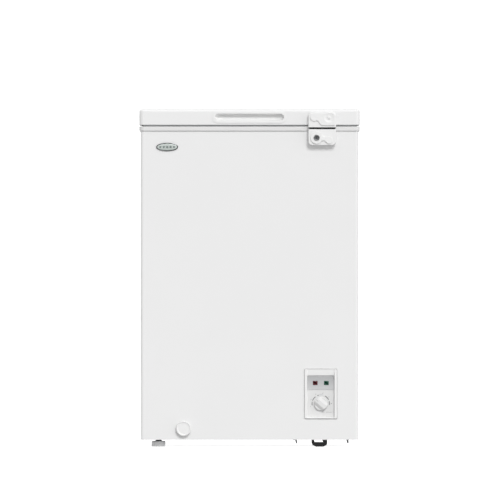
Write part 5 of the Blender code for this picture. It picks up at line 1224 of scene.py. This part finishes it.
# ------------------------------------------------------------------ back
def make_back():
    low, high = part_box("back_panel")
    grille_low, grille_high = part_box("rear_grille")
    lap = 0.004
    x0, x1, z0, z1 = grille_low.x + lap, grille_high.x - lap, grille_low.z + lap, grille_high.z - lap
    outline = rounded(high.x - low.x, high.z - low.z, 0.003, 0.0, (low.z + high.z) / 2, 4)
    edges = [(-0.0004, low.y), (0.0, low.y + 0.0003), (0.0, high.y - 0.0003), (-0.0004, high.y)]
    panel = stepped(outline, edges, behind)
    ribs = []
    for x, top, base in ((-0.115, 0.70, 0.10), (0.0, 0.70, 0.10), (0.115, 0.70, 0.32)):
        shape = rounded(0.022, top - base, 0.0109, x, (top + base) / 2, 8)
        swell = [(0.0, high.y - 0.0003), (0.0, high.y), (-0.0012, high.y + 0.0010), (-0.0035, high.y + 0.0012)]
        ribs.append(stepped(shape, swell, behind))
    panel = combined(panel, ribs, "UNION")
    panel = combined(panel, [box(x0, x1, low.y - 0.01, high.y + 0.01, z0, z1)])
    piece("rear_panel", panel, "cabinet", "white_steel", replaces=["back_panel"], sharp=40)
    heads = []
    for z in (0.040, 0.230, 0.420, 0.610, 0.775):
        heads += [screw(sign * 0.2625, high.y, z) for sign in (-1, 1) if not (sign > 0 and z < 0.26)]
    heads += [screw(x, high.y, 0.782) for x in (-0.085, 0.085)]
    heads += [screw(x, high.y, 0.030) for x in (-0.17, -0.05, 0.06)]
    piece("rear_screws", together(*heads), "cabinet", "zinc", sharp=50)

    low, high = grille_low, grille_high
    edges = [(-0.0003, low.y), (0.0, low.y + 0.0003), (0.0, high.y - 0.0003), (-0.0003, high.y)]
    plate = stepped(seen("rear_grille", 0.006, 6), edges, behind)
    gland = middle("cord_gland")
    slots = [stepped(ring_of(0.0068, gland.x, gland.z), [(0, low.y - 0.01), (0, high.y + 0.01)], behind)]
    rows = 11
    pitch = (z1 - z0 - 0.060) / rows
    for i in range(rows):
        z = z0 + 0.045 + pitch * i + 0.003
        for a, b in ((x0 + 0.012, (x0 + x1) / 2 - 0.004), ((x0 + x1) / 2 + 0.004, x1 - 0.012)):
            shape = rounded(b - a, 0.006, 0.0029, (a + b) / 2, z, 6)
            slots.append(stepped(shape, [(0, low.y - 0.01), (0, high.y + 0.01)], behind))
    piece("rear_vent", combined(plate, slots), "cabinet", "galvanised", replaces=["rear_grille"], sharp=40)
    heads = [screw(x, high.y, z) for x in (low.x + 0.007, high.x - 0.007)
             for z in (low.z + 0.008, high.z - 0.008)]
    piece("vent_screws", together(*heads), "cabinet", "zinc", sharp=50)

    low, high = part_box("cord_gland")
    out = high.y - grille_high.y
    profile = [(0.0040, -0.0060), (0.0062, -0.0060), (0.0062, 0.0004), (0.0092, 0.0004), (0.0092, 0.0016)]
    profile += [(0.0085, 0.0022), (0.0070, 0.0026), (0.0066, 0.0038), (0.0060, out), (0.0040, out)]
    piece("cord_bushing", turned(profile, (gland.x, grille_high.y, gland.z), "B", 40, loop=True), "cabinet",
          "black_plastic", replaces=["cord_gland"], sharp=40)


# ------------------------------------------------------------------ machine bay
def make_bay():
    low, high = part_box("compressor")
    mid = (low + high) / 2
    plate_top = low.z + 0.003
    body_top = high.z
    tall = body_top - plate_top
    wide, deep = 0.112, 0.160
    shape = [(0.60, 0.0), (0.80, 0.02), (0.92, 0.07), (0.98, 0.15), (1.0, 0.27), (1.0, 0.49), (1.004, 0.505)]
    shape += [(1.030, 0.509), (1.035, 0.516), (1.035, 0.536), (1.030, 0.543), (1.004, 0.547), (1.0, 0.56)]
    shape += [(0.995, 0.72), (0.975, 0.81), (0.92, 0.89), (0.82, 0.95), (0.66, 0.985), (0.45, 0.998),
              (0.20, 1.0)]
    rings = []
    for share, level in shape:
        z = plate_top - 0.0005 + (tall + 0.0005) * level
        rings.append([(u, v, z) for u, v in oval(wide * share, deep * share, mid.x, mid.y, 64)])
    plate = slab(rounded(high.x - low.x, high.y - low.y, 0.010, mid.x, mid.y, 8), low.z, plate_top, 0.0006,
                 bottom=0.0006)
    mounts = [middle(f"compressor_bolt_{i}") for i in (1, 2, 3, 4)]
    holes = [bore(m.x, m.y, 0.0064, 0.0, plate_top + 0.002) for m in mounts]
    made = combined(combined(loft(rings), [plate], "UNION"), holes)
    piece("motor_housing", made, "cabinet", "black_steel", replaces=["compressor"], sharp=40)
    for i, m in enumerate(mounts, 1):
        low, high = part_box(f"compressor_grommet_{i}")
        profile = [(0.0036, 0.0), (0.0104, 0.0), (0.0110, 0.0010), (0.0110, 0.0040), (0.0100, 0.0052),
                   (0.0100, 0.0062)]
        profile += [(0.0110, 0.0074), (0.0110, 0.0138), (0.0102, 0.0150), (0.0058, 0.0150), (0.0058, 0.0206),
                    (0.0054, 0.0210)]
        profile += [(0.0036, 0.0210)]
        piece(f"grommet_{i}", turned(profile, (m.x, m.y, low.z), "Z", 36, loop=True), "cabinet",
              "grommet_rubber",
              replaces=[f"compressor_grommet_{i}"], sharp=45)
        low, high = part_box(f"compressor_bolt_{i}")
        head = high.z - 0.0040
        washer = turned([(0.0029, 0.0182), (0.0029, head - 0.0012), (0.0083, head - 0.0012),
                         (0.0085, head - 0.0010),
                         (0.0085, head - 0.0002), (0.0083, head), (0.0040, head + 0.0002)], (m.x, m.y, 0.0),
                        "Z", 32)
        hexagon = [(m.x + 0.0058 * math.cos(a), m.y + 0.0058 * math.sin(a))
                   for a in (math.pi / 3 * k + 0.3 * i for k in range(6))]
        nut = stepped(hexagon, [(0, head - 0.0003), (0, high.z - 0.0006), (-0.0008, high.z)])
        piece(f"bolt_{i}", combined(washer, [nut], "UNION"), "cabinet", "zinc",
              replaces=[f"compressor_bolt_{i}"], sharp=35)

    low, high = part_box("terminal_cover")
    mid = (low + high) / 2
    outline = rounded(high.x - low.x, high.z - low.z, 0.006, mid.x, mid.z, 6)
    levels = edge_levels(-high.y, -low.y, 0.004, 0.0, 5)
    cover = stepped(outline, levels, facing(0.0))
    ribs = [box(mid.x - 0.018, mid.x + 0.018, low.y - 0.001, low.y + 0.0006, mid.z + s - 0.0007,
                mid.z + s + 0.0007)
            for s in (-0.010, -0.005, 0.0, 0.005, 0.010)]
    piece("terminal_box", combined(cover, ribs), "cabinet", "black_plastic", replaces=["terminal_cover"],
          sharp=40)

    low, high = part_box("filter_drier")
    mid = (low + high) / 2
    profile = [(0.0026, 0.0), (0.0030, 0.0002), (0.0030, 0.006), (0.0040, 0.009), (0.0070, 0.0125),
               (0.0090, 0.0150)]
    profile += [(0.0095, 0.0175), (0.0095, 0.030), (0.0090, 0.0312), (0.0095, 0.0324), (0.0095, 0.0680),
                (0.0090, 0.0692)]
    profile += [(0.0095, 0.0704), (0.0095, 0.0825), (0.0090, 0.0850), (0.0070, 0.0875), (0.0038, 0.0905),
                (0.0026, 0.0940)]
    profile += [(0.0026, 0.0998), (0.0022, 0.1000)]
    piece("drier", turned(profile, (mid.x, mid.y, low.z), "Z", 40), "cabinet", "copper",
          replaces=["filter_drier"], sharp=50)


# ------------------------------------------------------------------ CAD nodes that stay in view
def paint_carried_nodes():
    slots = {entry["slot"]: entry for entry in frame["record"]["materials"]}
    for obj in frame["nodes"].values():
        for i, material in enumerate(obj.data.materials):
            if material.name.split(".")[0] in FINISH or material.name in slots:
                obj.data.materials[i] = FINISH[material.name.split(".")[0]]


# ------------------------------------------------------------------ studio
def sun_light(name, towards, spread, power):
    """A soft light, far away, that shines from that direction: spread in degrees, power in W/m2."""
    light = bpy.data.lights.new(name, "SUN")
    light.angle = math.radians(spread)
    light.energy = power
    obj = bpy.data.objects.new(name, light)
    bpy.context.scene.collection.objects.link(obj)
    obj.location = Vector(towards) * 3
    obj.rotation_euler = Vector(towards).to_track_quat("Z", "Y").to_euler()
    return obj


def make_studio():
    scene = bpy.context.scene
    scene.view_settings.view_transform = "Standard"
    world = bpy.data.worlds.new("studio")
    scene.world = world
    world.use_nodes = True
    tree = world.node_tree
    background = tree.nodes["Background"]
    coordinates = tree.nodes.new("ShaderNodeTexCoord")
    split = tree.nodes.new("ShaderNodeSeparateXYZ")
    tree.links.new(coordinates.outputs["Generated"], split.inputs["Vector"])
    sky = tree.nodes.new("ShaderNodeMapRange")
    for key, value in (("From Min", -0.4), ("From Max", 1.0), ("To Min", 0.56), ("To Max", 0.66)):
        sky.inputs[key].default_value = value
    tree.links.new(split.outputs["Z"], sky.inputs["Value"])
    rays = tree.nodes.new("ShaderNodeLightPath")
    seen = tree.nodes.new("ShaderNodeMix")
    seen.inputs["B"].default_value = 1.15
    tree.links.new(rays.outputs["Is Camera Ray"], seen.inputs["Factor"])
    tree.links.new(sky.outputs["Result"], seen.inputs["A"])
    tree.links.new(seen.outputs["Result"], background.inputs["Strength"])
    background.inputs["Color"].default_value = (1.0, 1.0, 1.0, 1.0)

    floor = raw("floor", loft([[(u, v, h) for u, v in ring_of(30.0, steps=96)] for h in (-0.02, 0.0)]))
    pale = Finish("pale_floor", 0.7)
    pale.shader.inputs["Emission Color"].default_value = (1.0, 1.0, 1.0, 1.0)
    pale.shader.inputs["Emission Strength"].default_value = 0.80
    pale.colour(pale.ramp(pale.noise(3.0, 3), (0.3, (0.90, 0.90, 0.90)), (0.7, (0.93, 0.93, 0.93))))
    pale.bump((pale.noise(40, 3), 0.001, 0.05))
    floor.data.materials.append(pale.made)
    floor.visible_diffuse = False
    floor.visible_glossy = False

    sun_light("key", (0.22, -0.80, 0.62), 18, 1.80)
    sun_light("side", (0.90, -0.45, 0.10), 50, 0.36)
    sun_light("back_fill", (-0.6, 0.9, 0.30), 60, 0.8)


def make_camera():
    """A long lens far away, which sees the front as good as square on."""
    width, distance, height = 1.257, 50.0, 0.495
    camera = bpy.data.cameras.new("camera")
    camera.sensor_width = 36.0
    camera.lens = 36.0 * distance / width
    obj = bpy.data.objects.new("camera", camera)
    bpy.context.scene.collection.objects.link(obj)
    obj.location = (0.0013, LID[0].y - distance, height)
    obj.rotation_euler = (math.pi / 2, 0.0, 0.0)
    camera.clip_start = 1.0
    camera.clip_end = 150.0
    bpy.context.scene.camera = obj


for make in (make_lid, make_lid_underside, make_collar, make_cabinet, make_lock, make_keeper, make_badge,
             make_bezel, make_dial, make_drain, make_feet, make_base, make_liner, make_basket, make_hinges,
             make_back, make_bay, paint_carried_nodes, make_studio, make_camera):
    make()
